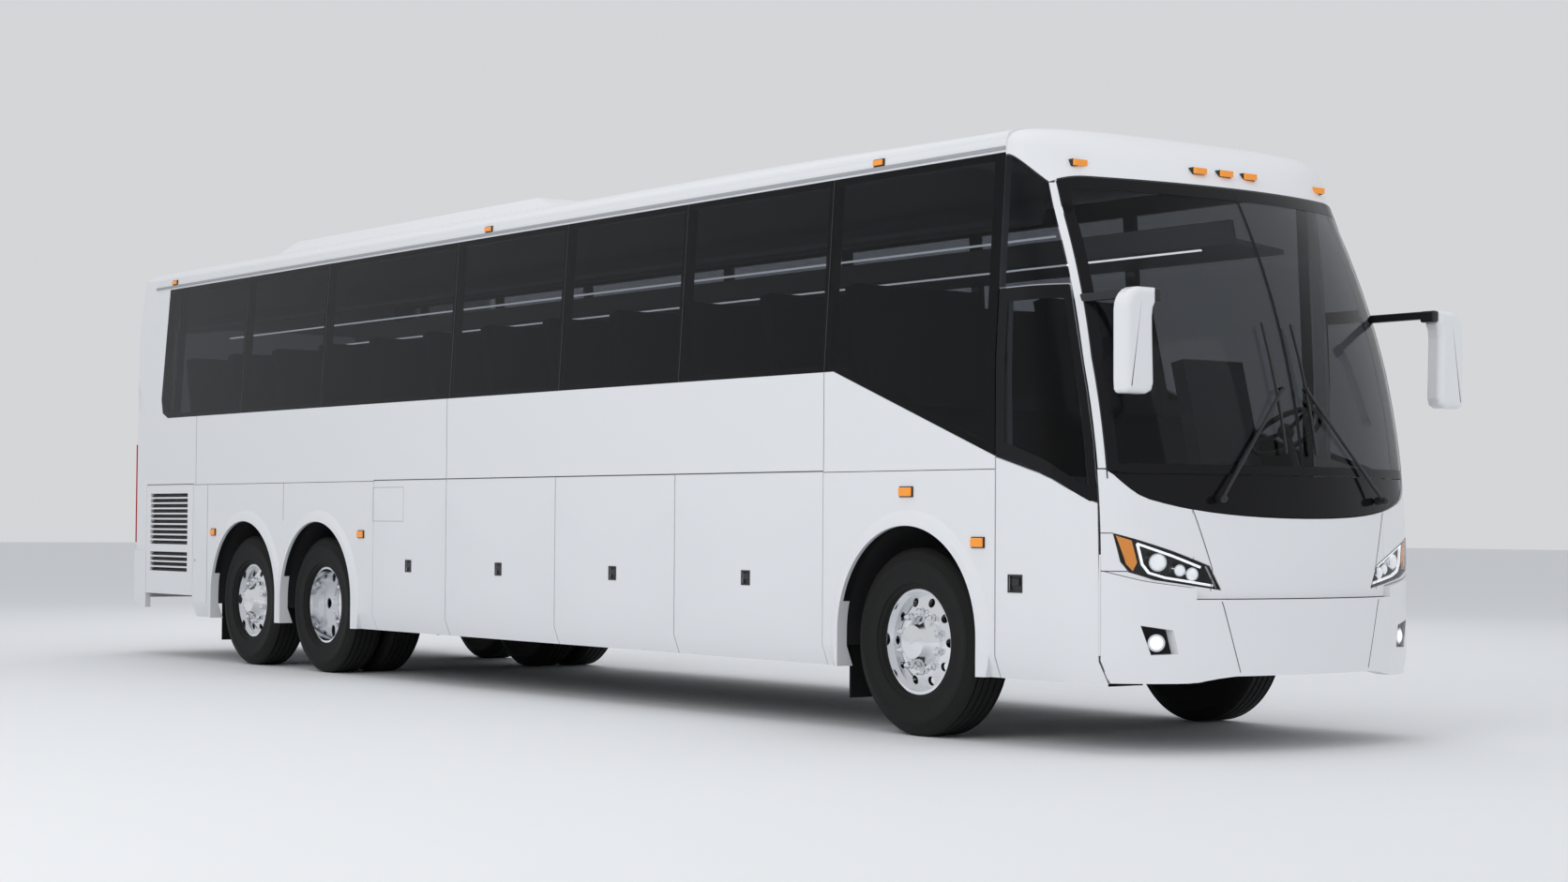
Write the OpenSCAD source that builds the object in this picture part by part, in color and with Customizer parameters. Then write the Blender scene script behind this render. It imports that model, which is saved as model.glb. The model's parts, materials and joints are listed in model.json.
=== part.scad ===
// Three-axle highway coach with luggage bays under the floor, in millimetres.
// +X points forwards, +Y to the coach's left and +Z up; the door is on the right.
// The origin is on the ground, in the middle of the overall length and width.

/* [Length] */
// Front face of the front bumper to the front axle
front_overhang = 1870; // [1800:10:2000]
// Front axle to drive axle
wheelbase = 7400; // [7200:20:7700]
// Drive axle to tag axle
tag_gap = 1335; // [1300:5:1400]
// Tag axle to the rear face of the rear bumper
rear_overhang = 2525; // [2450:10:2700]

/* [Section] */
// Width over the side panels
body_w = 2590; // [2500:10:2600]
// Height of the lower edge of the side panels
skirt_z = 370; // [330:5:400]
// Height of the fold where the skirt starts to tuck in
crease_z = 490; // [450:5:520]
// How far the skirt tucks in at its lower edge
tuck = 45; // [20:5:60]
// Height of the seam above the luggage doors
belt_z = 1507; // [1480:1:1540]
// Height of the lower edge of the side windows
sill_z = 2100; // [2050:10:2150]
// Height of the upper edge of the side windows
glass_top_z = 3250; // [3200:10:3280]
// Height where the side meets the roof
gutter_z = 3330; // [3310:5:3360]
// Rise of the roof's arch above the gutter
roof_rise = 180; // [160:5:240]
// Rise of the roof's arch where it meets the front
front_rise = 90; // [70:5:120]
// How far the side leans in between the sill and the top of the windows
lean = 70; // [40:5:90]
// Thickness of the side walls and of the roof
wall_t = 50; // [40:1:60]
// Thickness of the window glass
glass_t = 8; // [6:1:10]
// Thickness of the outer doors and of the moulded front panels
panel_t = 40; // [35:1:44]

/* [Front] */
// Radius of the front in plan
nose_r = 2600; // [2400:50:3000]
// Radius of the front corners in plan
corner_r = 460; // [400:10:480]
// Radius of the windscreen's profile seen from the side
screen_r = 4180; // [4000:20:4600]
// Height at which the front stands upright
upright_z = 1000; // [950:10:1050]
// How far the bumper stands proud of the nose
bumper_proud = 40; // [20:5:60]
// Height of the top of the windscreen at its middle
screen_top_z = 3095; // [3060:5:3120]
// Height of the lower edge of the windscreen
screen_low_z = 1480; // [1460:5:1520]
// Height of the seam between the nose and the bumper
bumper_top_z = 815; // [790:5:840]
// Height of the bumper's lower edge
bumper_low_z = 400; // [380:5:430]

/* [Doors] */
// Front axle to the rear edge of the entry door
door_rear = 761; // [740:1:800]
// Height of the top of the entry door
door_top_z = 2490; // [2450:5:2520]
// Gap round the doors
door_gap = 10; // [8:1:12]
// Radius of the hinge barrels
hinge_r = 8; // [7:0.5:9]
// Front axle back to the front edge of the first luggage door
bay_start = 789; // [780:1:820]
// Widths of the four luggage doors, from the front; they are fitted to the wheelbase
bay_w1 = 1566; // [1500:1:1600]
// Width of the second luggage door
bay_w2 = 1457; // [1400:1:1500]
// Width of the third luggage door
bay_w3 = 1517; // [1450:1:1550]
// Width of the fourth luggage door
bay_w4 = 1131; // [1100:1:1180]
// Tag axle back to the front edge of the grille door
grille_start = 1044; // [1000:1:1100]
// Width of the grille door
grille_w = 1010; // [1000:10:1060]
// Width of the engine door
engine_door_w = 1640; // [1500:10:1700]
// Height of the engine door
engine_door_h = 1050; // [1000:10:1100]
// Length and width of the roof hatch
hatch = 640; // [600:10:700]

/* [Fixings] */
// Distance across between the screws of the rear plate
plate_y = 178; // [170:1:190]
// Distance up between the screws of the rear plate
plate_h = 121; // [110:1:130]
// Diameter of the plate's screw holes
plate_hole_d = 7; // [6:0.5:8]
// Diameter of the pin holes in the towing lugs
tow_hole_d = 40; // [36:1:46]
// Thickness of the towing lugs
tow_lug_t = 50; // [44:1:60]
// Diameter of the jacking pads
jack_pad_d = 120; // [100:5:140]

/* [Wheels] */
// Diameter of the tyres
tyre_d = 1070; // [1040:2:1080]
// Width of the tyres
tyre_w = 300; // [280:2:310]
// Diameter over the rim flanges
rim_d = 628; // [610:2:640]
// Gap between the tyres of a twin wheel
twin_gap = 50; // [40:2:60]
// Side panel in to the outer face of the tyres
wheel_inset = 45; // [40:5:60]
// Radius of the wheel arches
arch_r = 620; // [610:5:640]
// Height of the centre of the wheel arches
arch_z = 575; // [560:5:590]
// Diameter of the hub spindles
spindle_d = 90; // [80:2:100]
// Diameter of the steering kingpins
kingpin_d = 50; // [44:2:56]
// Running clearance on the radius of the spindles and the kingpins
run_gap = 0.05; // [0.03:0.01:0.1]

/* [Cabin] */
// Height of the cabin floor
floor_z = 1480; // [1470:5:1490]
// Thickness of the cabin floor
floor_t = 60; // [50:5:70]
// Height of the driver's floor
driver_z = 1050; // [1030:5:1080]
// Distance between the rows of seats
seat_pitch = 860; // [820:10:900]
// Number of rows of seats
seat_rows = 12; // [10:1:12]

/* [Hidden] */
$fn = 48;

// Overall places
length = front_overhang + wheelbase + tag_gap + rear_overhang;
half_w = body_w / 2;
front_x = length / 2 - front_overhang;
drive_x = front_x - wheelbase;
tag_x = drive_x - tag_gap;
hub_z = tyre_d / 2;
tyre_y = half_w - wheel_inset - tyre_w / 2;
inner_tyre_y = tyre_y - tyre_w - twin_gap;
seat_gap = 0.3;

// Front surface
nose_x = length / 2 - bumper_proud;
screen_cx = nose_x - screen_r;
pillar_u = 1.34;
door_u = 1.45;
seam_u = 0.73;

// Doors
door_rear_x = front_x + door_rear;
cap_x = door_rear_x - door_gap;
widths = [bay_w1, bay_w2, bay_w3, bay_w4];
bay_room = wheelbase - bay_start - 940;
bays = [for (w = widths) w * bay_room / (bay_w1 + bay_w2 + bay_w3 + bay_w4)];
bay_x = [for (i = 0, x = front_x - bay_start; i <= 4; x = x - (i < 4 ? bays[i] : 0), i = i + 1) x];
grille_x = tag_x - grille_start;
door_low_z = skirt_z;

// Rear
rear_x = -length / 2 + 55;
rear_corner_r = 250;
rear_top_r = 260;
rear_cap_x = grille_x - grille_w;
rear_lean = 150;
rear_lean_z = 2050;
rear_bumper_top = 930;
rear_bumper_low = 420;
plate_z = 700;
engine_door_z = 900;

// Under the floor
bay_floor_z = 400;
bay_floor_t = 50;
bulkhead_t = 40;
rail_y = 400;
rail_w = 110;
rail_z = 800;
rail_h = 140;
tow_x = nose_x - 330;
tow_z = 480;
jack_h = 25;

// Half width of the side at a height
function side_y(z) = z < crease_z ? half_w - tuck * (crease_z - z) / (crease_z - skirt_z)
    : z < sill_z ? half_w
    : half_w - lean * (z - sill_z) / (glass_top_z - sill_z);

// Point of the roof's arch, with the arch shrunk by an inset. It turns lower and
// squarer towards the front, from fall_x on.
roof_y = side_y(gutter_z) - 6;
fall_x = front_x - 2195;
arch_n = 32;
function fall(x) = let (k = min(1, max(0, (x - fall_x) / (cap_x - fall_x)))) k * k * (3 - 2 * k);
function arch_rise(x) = mix(roof_rise, front_rise, fall(x));
function arch_pt(a, inset = 0, x = 0) =
    let (p = mix(2.3, 3.4, fall(x)), c = cos(a))
    [(roof_y - inset) * c, gutter_z + (arch_rise(x) - inset) * pow(max(0, 1 - pow(abs(c), p)), 1 / p)];

// Foremost point of the front at a height
function face_x(z) = screen_cx + sqrt(pow(screen_r, 2) - pow(max(0, z - upright_z), 2));

// Point on the front: u runs 0 to 1 over the front, 1 to 2 round the corner and
// then metres back along the side; t is the depth below the surface. High up the
// corner is squeezed so that it ends at the seam of the front.
function skin_pt(u, z, t) =
    let (
        w = side_y(z),
        s = asin((w - corner_r) / (nose_r - corner_r)),
        x0 = face_x(z) - nose_r,
        cr = x0 + (nose_r - corner_r) * cos(s),
        cx = max(cr, cap_x + 5),
        squeeze = 1 - (cx - cr) / (corner_r * cos(s)),
        a = abs(u),
        g = u < 0 ? -1 : 1,
        f = s + (a - 1) * (90 - s)
    )
    a <= 1 ? [x0 + (nose_r - t) * cos(a * s), g * (nose_r - t) * sin(a * s), z]
    : a <= 2 ? [cx + (corner_r - t) * cos(f) * squeeze, g * (w - corner_r + (corner_r - t) * sin(f)), z]
    : [cx - (a - 2) * 1000, g * (w - t), z];

// The value of u on the side at a place x
function side_u(x, z) =
    let (w = side_y(z), s = asin((w - corner_r) / (nose_r - corner_r)))
    2 + (max(face_x(z) - nose_r + (nose_r - corner_r) * cos(s), cap_x + 5) - x) / 1000;

// The value of u on the front at a distance y from the middle
function front_u(y) = asin(y / nose_r) / asin((half_w - corner_r) / (nose_r - corner_r));

// Lower edge of the black cowl, lower edge of the lamps and upper edge of the bumper
function cowl_z(u) = 1250 + 60 * pow(u, 2) + 45 * pow(u, 4);
function bumper_z(u) = bumper_top_z + 38 + 112 * (abs(u) - 0.56) / 0.9;

// Upper edge of the windscreen
function head_z(u) = screen_top_z + 10 * pow(u, 2);

function mix(a, b, k) = a + (b - a) * k;

// Closed solid between two layers of a grid of points. hole = [i0, i1, j0, j1]
// leaves out a block of cells and walls its edge.
module layers(outer, inner, hole = [0, 0, 0, 0]) {
    n = len(outer) - 1;
    m = len(outer[0]) - 1;
    w = m + 1;
    size = (n + 1) * w;
    open = hole[1] > hole[0];
    pts = concat([for (r = outer) each r], [for (r = inner) each r]);
    cells = [for (i = [0:n-1], j = [0:m-1])
        if (!(i >= hole[0] && i < hole[1] && j >= hole[2] && j < hole[3])) [i, j]];
    rim = concat([for (i = [0:n]) i * w], [for (j = [1:m]) n * w + j],
        [for (i = [n-1:-1:0]) i * w + m], [for (j = [m-1:-1:1]) j]);
    lip = !open ? [] : concat([for (j = [hole[2]:hole[3]]) hole[0] * w + j],
        [for (i = [hole[0]+1:hole[1]]) i * w + hole[3]],
        [for (j = [hole[3]-1:-1:hole[2]]) hole[1] * w + j],
        [for (i = [hole[1]-1:-1:hole[0]+1]) i * w + hole[2]]);
    wall = function (loop) [for (k = [0:max(0, len(loop)-1)]) if (len(loop) > 0)
        let (a = loop[k], b = loop[(k + 1) % len(loop)]) each [[a, b, size + a], [b, size + b, size + a]]];
    polyhedron(pts, concat(
        [for (c = cells) let (a = c[0] * w + c[1], b = a + w)
            each [[a, b + 1, b], [a, a + 1, b + 1]]],
        [for (c = cells) let (a = size + c[0] * w + c[1], b = a + w)
            each [[a, b, b + 1], [a, b + 1, a + 1]]],
        wall(rim), wall(lip)));
}

// Panel of the front between two edges in u and two in z. The upper and lower
// edges are functions of the share across, the side edges functions of height.
module skin(ua, ub, zlo, zhi, n, m, out = function (u) 0, deep = panel_t) {
    grid = function (t) [for (i = [0:n]) [for (j = [0:m])
        let (k = i / n, z = mix(zlo(k), zhi(k), j / m), u = mix(ua(z), ub(z), k)) skin_pt(u, z, t(u))]];
    layers(grid(function (u) -out(u)), grid(function (u) deep));
}

// Flat shapes extruded along an axis
module along_x(x0, x1) translate([x0, 0, 0]) rotate([90, 0, 90]) linear_extrude(x1 - x0) children();
module along_y(y0, y1) translate([0, y1, 0]) rotate([90, 0, 0]) linear_extrude(y1 - y0) children();
module along_z(z0, z1) translate([0, 0, z0]) linear_extrude(z1 - z0) children();
module box(x, y, z) translate([x[0], y[0], z[0]]) cube([x[1] - x[0], y[1] - y[0], z[1] - z[0]]);
module both_sides() { children(); mirror([0, 1, 0]) children(); }
module rod_y(x, z, y0, y1, r) translate([x, y0, z]) rotate([-90, 0, 0]) cylinder(h = y1 - y0, r = r);

// Round bar between two points
module bar(a, b, r) hull() for (p = [a, b]) translate(p) sphere(r, $fn = 12);

module rounded(w, h, r) {
    translate([-w / 2 + r, -h / 2]) square([w - 2 * r, h]);
    translate([-w / 2, -h / 2 + r]) square([w, h - 2 * r]);
    for (x = [-1, 1], y = [-1, 1]) translate([x * (w / 2 - r), y * (h / 2 - r)]) circle(r);
}

// Band of the left side between two depths and two heights
module side_band(z0, z1, t0, t1) {
    knots = concat([z0], [for (z = [crease_z, sill_z]) if (z > z0 && z < z1) z], [z1]);
    polygon(concat([for (z = knots) [side_y(z) - t0, z]],
        [for (i = [len(knots)-1:-1:0]) [side_y(knots[i]) - t1, knots[i]]]));
}

// Outline of the dark glass on the side, seen from the side; it slants down to the door
slant = 0.36;
slant_x = bay_x[0] + 90;
glass_rear_x = rear_x + 685;
function slant_z(x) = sill_z - slant * max(0, x - slant_x);
module glass_outline() {
    difference() {
        polygon([[glass_rear_x + 170, sill_z], [slant_x, sill_z], [nose_x, slant_z(nose_x)],
            [nose_x, glass_top_z], [glass_rear_x + 30, glass_top_z], [glass_rear_x, sill_z + 170],
            [glass_rear_x + 50, sill_z + 45]]);
    }
}

// Window posts, from the front, behind the seams between the panes
post_w = 90;
window_posts = [cap_x - post_w / 2, bay_x[0], bay_x[1] + 30, bay_x[2] + 30, bay_x[3] + 30,
    drive_x + 30, tag_x - 115, glass_rear_x + 285];

lip_w = 90;
lip_t = 22;
moulding_z = 3274;
module side_wall() {
    color("white") difference() {
        union() {
            difference() {
                along_x(rear_cap_x, cap_x) side_band(skirt_z, gutter_z, 0, wall_t);
                // luggage doors and everything below the belt in their place
                box([bay_x[4], bay_x[0]], [0, body_w], [0, belt_z]);
                // grille door
                box([grille_x - grille_w, grille_x], [0, body_w], [0, belt_z]);
                box([rear_cap_x - 1, grille_x], [0, body_w], [0, rear_bumper_low + 120]);
            }
            // flared lips of the arches
            for (x = [front_x, drive_x, tag_x]) {
                translate([x, half_w - wall_t, arch_z]) rotate([-90, 0, 0]) {
                    cylinder(h = wall_t, r = arch_r + lip_w);
                    translate([0, 0, wall_t]) cylinder(h = lip_t, r1 = arch_r + lip_w, r2 = arch_r + lip_w / 2);
                }
            }
            // moulding over the windows
            rod_x(rear_cap_x, cap_x, side_y(moulding_z), moulding_z, 9);
        }
        for (x = [front_x, drive_x, tag_x]) {
            rod_y(x, arch_z, 0, body_w, arch_r);
            box([x - arch_r, x + arch_r], [0, body_w], [0, arch_z]);
        }
        box([rear_cap_x, cap_x], [0, body_w], [-arch_r, skirt_z]);
        // rebate for the panes and the windows through the wall
        intersection() {
            along_x(rear_cap_x, cap_x + 1) side_band(belt_z - 200, glass_top_z, -1, glass_t);
            along_y(0, body_w) glass_outline();
        }
        along_y(0, body_w) difference() {
            offset(delta = -40) glass_outline();
            for (x = window_posts) translate([x - post_w / 2, 0]) square([post_w, gutter_z]);
        }
        // room for the luggage doors to swing out
        for (x = [[bay_x[4], bay_x[0]], [grille_x - grille_w, grille_x]])
            box(x, [hinge_y, body_w], [0, belt_z + 10]);
        rod_x(bay_x[4], bay_x[0], hinge_y, hinge_z, hinge_r + seat_gap);
        rod_x(grille_x - grille_w, grille_x, hinge_y, hinge_z, hinge_r + seat_gap);
    }
}

// Hinge line of the doors below the belt
hinge_y = half_w - hinge_r;
hinge_z = belt_z - 4;
module rod_x(x0, x1, y, z, r) translate([x0, y, z]) rotate([0, 90, 0]) cylinder(h = x1 - x0, r = r);

module lower_door(x0, x1, low) {
    difference() {
        union() {
            along_x(x0 + door_gap / 2, x1 - door_gap / 2) side_band(low, hinge_z - 4, 0, panel_t);
            rod_x(x0 + door_gap / 2, x1 - door_gap / 2, hinge_y, hinge_z, hinge_r);
        }
        children();
    }
}

latch_z = 868;
module bay_door(i) {
    x = (bay_x[i] + bay_x[i + 1]) / 2;
    color("white") lower_door(bay_x[i + 1], bay_x[i], skirt_z)
        box([x - 42, x + 42], [half_w - 14, half_w + 1], [latch_z - 42, latch_z + 42]);
}

slat_pitch = 46;
module grille_door() {
    x0 = grille_x - grille_w;
    color("white") lower_door(x0, grille_x, rear_bumper_low + 130)
        for (z = concat([for (i = [0:9]) 1418 - slat_pitch * i], [for (i = [0:3]) 905 - slat_pitch * i]))
            box([x0 + 90, grille_x - 120], [0, body_w], [z - 16, z + 16]);
}

// Side of the front between the cap seam and the windscreen pillar: the entry
// door on the right, the driver's side on the left. Above the slant its outer
// face is set back for the glass, and a window is left open inside a frame.
frame_w = 0.07;
side_front_x = skin_pt(door_u, slant_z(nose_x - 400), 0)[0];
frame_shares = concat([0], [for (i = [0:6]) mix(frame_w / 0.72, 1 - frame_w / 0.72, i / 6)], [1]);
function front_line(rear) = function (k) mix(slant_z(side_front_x), slant_z(rear), k);
function frame_rows(line, top) = concat([line],
    [for (f = [0:0.25:1]) function (k) mix(line(k) + 60, top(k) - 60, f)], [top]);
module front_side(low, top, u_front, rear) {
    line = front_line(rear);
    rows = concat(
        [for (z = [low, crease_z]) [function (k) z, 0, function (k) z]],
        [for (f = [0.5, 1]) [function (k) mix(crease_z, line(k) - door_gap / 2, f), 0,
            function (k) mix(crease_z, line(k) - 20, f)]],
        [[function (k) line(k) - door_gap / 2, glass_t + seat_gap, line]],
        [for (i = [1:6]) let (g = frame_rows(line, top)[i]) [g, glass_t + seat_gap, g]]);
    grid = function (layer) [for (k = frame_shares) [for (r = rows)
        let (z = layer == 0 ? r[0](k) : r[2](k)) skin_pt(mix(u_front, side_u(rear, z), k), z, layer == 0 ? r[1] : panel_t)]];
    layers(grid(0), grid(1), [1, len(frame_shares) - 2, 5, len(rows) - 2]);
}
module front_side_pane(top, u_front, rear) {
    rows = frame_rows(front_line(rear), top);
    grid = function (t) [for (k = frame_shares) [for (r = rows)
        skin_pt(mix(u_front, side_u(rear, r(k)), k), r(k), t)]];
    layers(grid(0), grid(glass_t));
}

// Upper edge of the glass beside the brow
function edge_k(k) = [mix(brow_u, side_u(cap_x, 3200), k), mix(pillar_top_z, glass_top_z - 10, sin(90 * k))];

side_top = function (k) edge_k(k)[1] - 8;
module side_wall_left() {
    side_wall();
    color("white") front_side(skirt_z, side_top, door_u - 0.015, cap_x + seat_gap);
}

module roof() {
    stations = concat([rear_cap_x], [for (i = [0:10]) mix(fall_x, cap_x, i / 10)]);
    grid = function (d) [for (x = stations) [for (i = [0:arch_n])
        let (p = arch_pt(180 - 180 * i / arch_n, d, x)) [x, p[0], p[1]]]];
    color("white") difference() {
        union() {
            layers(grid(0), grid(wall_t));
            // curb of the hatch
            box([hatch_x - hatch / 2 + 20, hatch_x + hatch / 2 - 20],
                [-hatch / 2 + 20, hatch / 2 - 20], [gutter_z + front_rise - 10, hatch_z - seat_gap]);
        }
        box([hatch_x - hatch / 2 + 50, hatch_x + hatch / 2 - 50],
            [-hatch / 2 + 50, hatch / 2 - 50], [gutter_z - 10, hatch_z + 1]);
    }
}

hatch_x = front_x - 480;
hatch_z = gutter_z + arch_rise(hatch_x - hatch / 2) + 8;
hatch_t = 45;
module roof_hatch() {
    color("gainsboro") {
        along_z(hatch_z, hatch_z + hatch_t) translate([hatch_x, 0]) rounded(hatch, hatch, 50);
    }
}

pod_x0 = tag_x - 200;
pod_x1 = drive_x + 3000;
pod_h = 95;
pod_y = 930;
module roof_pod() {
    n = 16;
    a0 = acos(pod_y / roof_y);
    j = floor(a0 * arch_n / 180);
    base = [for (i = [j:arch_n-j]) arch_pt(180 * i / arch_n, -seat_gap)];
    crown = [for (i = [n:-1:0]) let (p = arch_pt(mix(a0 + 8, 172 - a0, i / n))) [p[0], p[1] + pod_h]];
    color("white") intersection() {
        along_x(pod_x0, pod_x1) polygon(concat(base, crown));
        along_y(-pod_y, pod_y) polygon([[pod_x0, gutter_z], [pod_x0, gutter_z + roof_rise - 60],
            [pod_x0 + 120, gutter_z + roof_rise + 60], [pod_x0 + 360, gutter_z + roof_rise + pod_h - 15],
            [pod_x1 - 1400, gutter_z + roof_rise + pod_h - 15], [pod_x1 - 1150, gutter_z + roof_rise + pod_h + 5],
            [pod_x1 - 900, gutter_z + roof_rise + pod_h + 5], [pod_x1 - 500, gutter_z + roof_rise + pod_h - 30],
            [pod_x1, gutter_z + roof_rise - 60], [pod_x1, gutter_z]]);
    }
}

// Rear end: plan, section and side outline, each shrunk by an inset
module rear_plan(d) {
    r = rear_corner_r - d;
    difference() {
        union() {
            translate([rear_x + rear_corner_r, -half_w + d]) square([600, body_w - 2 * d]);
            translate([rear_x + d, -half_w + rear_corner_r]) square([600, body_w - 2 * rear_corner_r]);
            for (s = [-1, 1]) translate([rear_x + rear_corner_r, s * (half_w - rear_corner_r)]) circle(r);
        }
        translate([rear_cap_x, -body_w]) square([2000, 2 * body_w]);
    }
}
module body_section(d) {
    polygon(concat([[side_y(skirt_z) - d, skirt_z], [half_w - d, crease_z], [half_w - d, sill_z]],
        [for (i = [0:arch_n]) arch_pt(180 * i / arch_n, d)],
        [[-half_w + d, sill_z], [-half_w + d, crease_z], [-side_y(skirt_z) + d, skirt_z]]));
}
// The rear stands upright, leans forwards above rear_lean_z and rounds into the roof
rear_tilt = atan(rear_lean / (gutter_z - rear_lean_z));
module rear_side(d) {
    top = gutter_z + roof_rise;
    r = rear_top_r;
    x = rear_x + tan(rear_tilt) * (top - r + r * sin(rear_tilt) - rear_lean_z) + r * cos(rear_tilt);
    polygon(concat([[rear_x + 1000, 0], [rear_x + d, 0], [rear_x + d, rear_lean_z]],
        [for (k = [0:0.125:1]) let (a = mix(180 - rear_tilt, 90, k)) [x + (r - d) * cos(a), top - r + (r - d) * sin(a)]],
        [[rear_x + 1000, top - d]]));
}
module rear_form(d) {
    intersection() {
        along_z(skirt_z, gutter_z + 390) rear_plan(d);
        along_x(rear_x - 10, rear_cap_x) body_section(d);
        along_y(-body_w, body_w) rear_side(d);
    }
}

rear_window_z = [2150, 3000];
rear_window_y = 960;
module rear_window(d) {
    z = (rear_window_z[0] + rear_window_z[1]) / 2;
    translate([0, 0, z]) rotate([90, 0, 90])
        linear_extrude(2000) rounded(2 * (rear_window_y - d), rear_window_z[1] - rear_window_z[0] - 2 * d, 90 - d);
}

tail_z = [1000, 1880];
tail_y = half_w - 220;
module tail_region(g) box([rear_x - 50, rear_x + 130 + g], [tail_y - g, body_w], [tail_z[0] - g, tail_z[1] + g]);

module rear_cap() {
    color("white") difference() {
        rear_form(0);
        translate([0.01, 0, 0]) rear_form(wall_t);
        // window with its rebate
        translate([rear_x - 10, 0, 0]) rear_window(40);
        difference() {
            translate([rear_x - 10, 0, 0]) rear_window(0);
            along_y(-body_w, body_w) rear_side(glass_t + seat_gap);
        }
        // engine door
        box([rear_x - 10, rear_x + 100], [-engine_door_w / 2, engine_door_w / 2],
            [0, engine_door_z + engine_door_h]);
        rod_y(rear_x + hinge_r, engine_hinge_z, -engine_door_w / 2, engine_door_w / 2, hinge_r + seat_gap);
        box([rear_x - 10, rear_x + hinge_r], [-engine_door_w / 2, engine_door_w / 2], [0, engine_hinge_z + 14]);
        // below the bumper's top
        box([rear_x - 10, rear_cap_x + 1], [-body_w, body_w], [0, rear_bumper_top + 0.6]);
        both_sides() intersection() {
            tail_region(seat_gap);
            difference() { along_z(0, 3000) rear_plan(-20); along_z(0, 3000) rear_plan(20); }
        }
    }
}

engine_hinge_z = engine_door_z + engine_door_h - 4;
module engine_door() {
    w = engine_door_w / 2 - door_gap;
    color("white") difference() {
        union() {
            box([rear_x, rear_x + panel_t], [-w, w], [engine_door_z + 40, engine_hinge_z - 4]);
            rod_y(rear_x + hinge_r, engine_hinge_z, -w, w, hinge_r);
        }
        for (i = [0:7]) box([rear_x - 1, rear_x + 100], [-w + 200, w - 200],
            [engine_door_z + 110 + 50 * i, engine_door_z + 140 + 50 * i]);
    }
}

module rear_bumper() {
    color("white") difference() {
        along_z(rear_bumper_low, rear_bumper_top) difference() {
            union() {
                translate([-length / 2 - rear_x, 0]) rear_plan(0);
                rear_plan(0);
            }
            rear_plan(wall_t);
            translate([rear_cap_x - 3, -body_w]) square([100, 2 * body_w]);
        }
        // the lower edge rises to the rear
        along_y(-body_w, body_w) polygon([[-length, 0], [-length, rear_bumper_low + 90], [rear_x, rear_bumper_low + 90],
            [rear_cap_x, rear_bumper_low], [rear_cap_x, 0]]);
        // holes for the plate
        for (y = [-1, 1], z = [-1, 1]) rod_x(-length / 2 - 1, rear_x + wall_t + 1,
            y * plate_y / 2, plate_z + z * plate_h / 2, plate_hole_d / 2);
    }
}

module tail_lamps() {
    color("red") both_sides() intersection() {
        tail_region(0);
        along_z(0, 3000) difference() { rear_plan(-12); rear_plan(20 - seat_gap); }
    }
}

// Front: pillars and the brow over the windscreen
brow_n = 28;
brow_m = 7;
brow_u = 1.42;
pillar_low_z = cowl_z(pillar_u) + 2;
pillar_top_z = 3070;
// Path across the roof at the cap seam: down the arch and then down the side
function seam_pt(a, d) =
    let (k = abs(a), g = a < 0 ? -1 : 1, turn = 0.93)
    k < turn ? let (p = arch_pt(90 * (1 - k / turn), d, cap_x)) [cap_x, g * p[0], p[1]]
    : let (z = mix(gutter_z, glass_top_z - 10, (k - turn) / (1 - turn))) [cap_x, g * (side_y(z) - 6 - d), z];
function head_pt(a, d) = let (u = a * brow_u)
    skin_pt(u, brow_low(abs(u)), d);
function brow_low(u) = u < 1 ? head_z(u) : mix(head_z(1), pillar_top_z, pow((u - 1) / (brow_u - 1), 2));
function bezier(p, q, r, s, k) = pow(1 - k, 3) * p + 3 * pow(1 - k, 2) * k * q + 3 * (1 - k) * k * k * r + pow(k, 3) * s;
function brow_pt(a, k, d) =
    let (
        p = head_pt(a, d),
        s = seam_pt(a, d),
        l = s[0] - p[0],
        e = edge_k(k),
        edge = skin_pt((a < 0 ? -1 : 1) * e[0], e[1], d),
        near = pow(abs(a), 8)
    )
    mix(bezier(p, p + [-80, 0, 130], s + [-0.45 * l, 0, 0], s, k), edge, near);

module brow() {
    rows = [for (d = [0, wall_t]) [for (i = [0:brow_n]) [for (j = [0:brow_m])
        brow_pt(-1 + 2 * i / brow_n, j / brow_m, d)]]];
    layers(rows[0], rows[1]);
}

module front_cap() {
    color("white") difference() {
        union() {
            brow();
            both_sides() {
                skin(function (z) pillar_u, function (z) door_u - 0.027,
                    function (k) pillar_low_z, function (k) pillar_top_z - 6, 2, 14, function (u) 0, wall_t);
                // lip behind the windscreen's edge
                skin(function (z) pillar_u - 0.05, function (z) pillar_u + 0.02, function (k) pillar_low_z + 25,
                    function (k) pillar_top_z + 30, 2, 14, function (u) -glass_t - 1.1, wall_t);
            }
        }
        box([cap_x - 400, cap_x + seat_gap], [-body_w, body_w], [skirt_z, 4000]);
    }
}

lamp_outline = [[1153, 1163], [869, 1072], [658, 993], [588, 864], [968, 919], [1089, 958], [1125, 1012]];
module lamp_cut(d) along_x(nose_x - 700, nose_x + 100) offset(delta = d) polygon(lamp_outline);

module nose_panel() {
    g = 0.002;
    color("white") {
        difference() {
            skin(function (z) -seam_u + g, function (z) seam_u - g, function (k) bumper_top_z + 4,
                function (k) cowl_z(mix(-seam_u, seam_u, k)) - 5, 14, 5);
            both_sides() lamp_cut(0.6);
        }
        both_sides() difference() {
            skin(function (z) seam_u + g, function (z) door_u - 0.02,
                function (k) bumper_z(mix(seam_u, door_u, k)) + 4,
                function (k) cowl_z(min(pillar_u, mix(seam_u, door_u, k))) - 5, 9, 5);
            lamp_cut(0.6);
        }
    }
}

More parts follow.
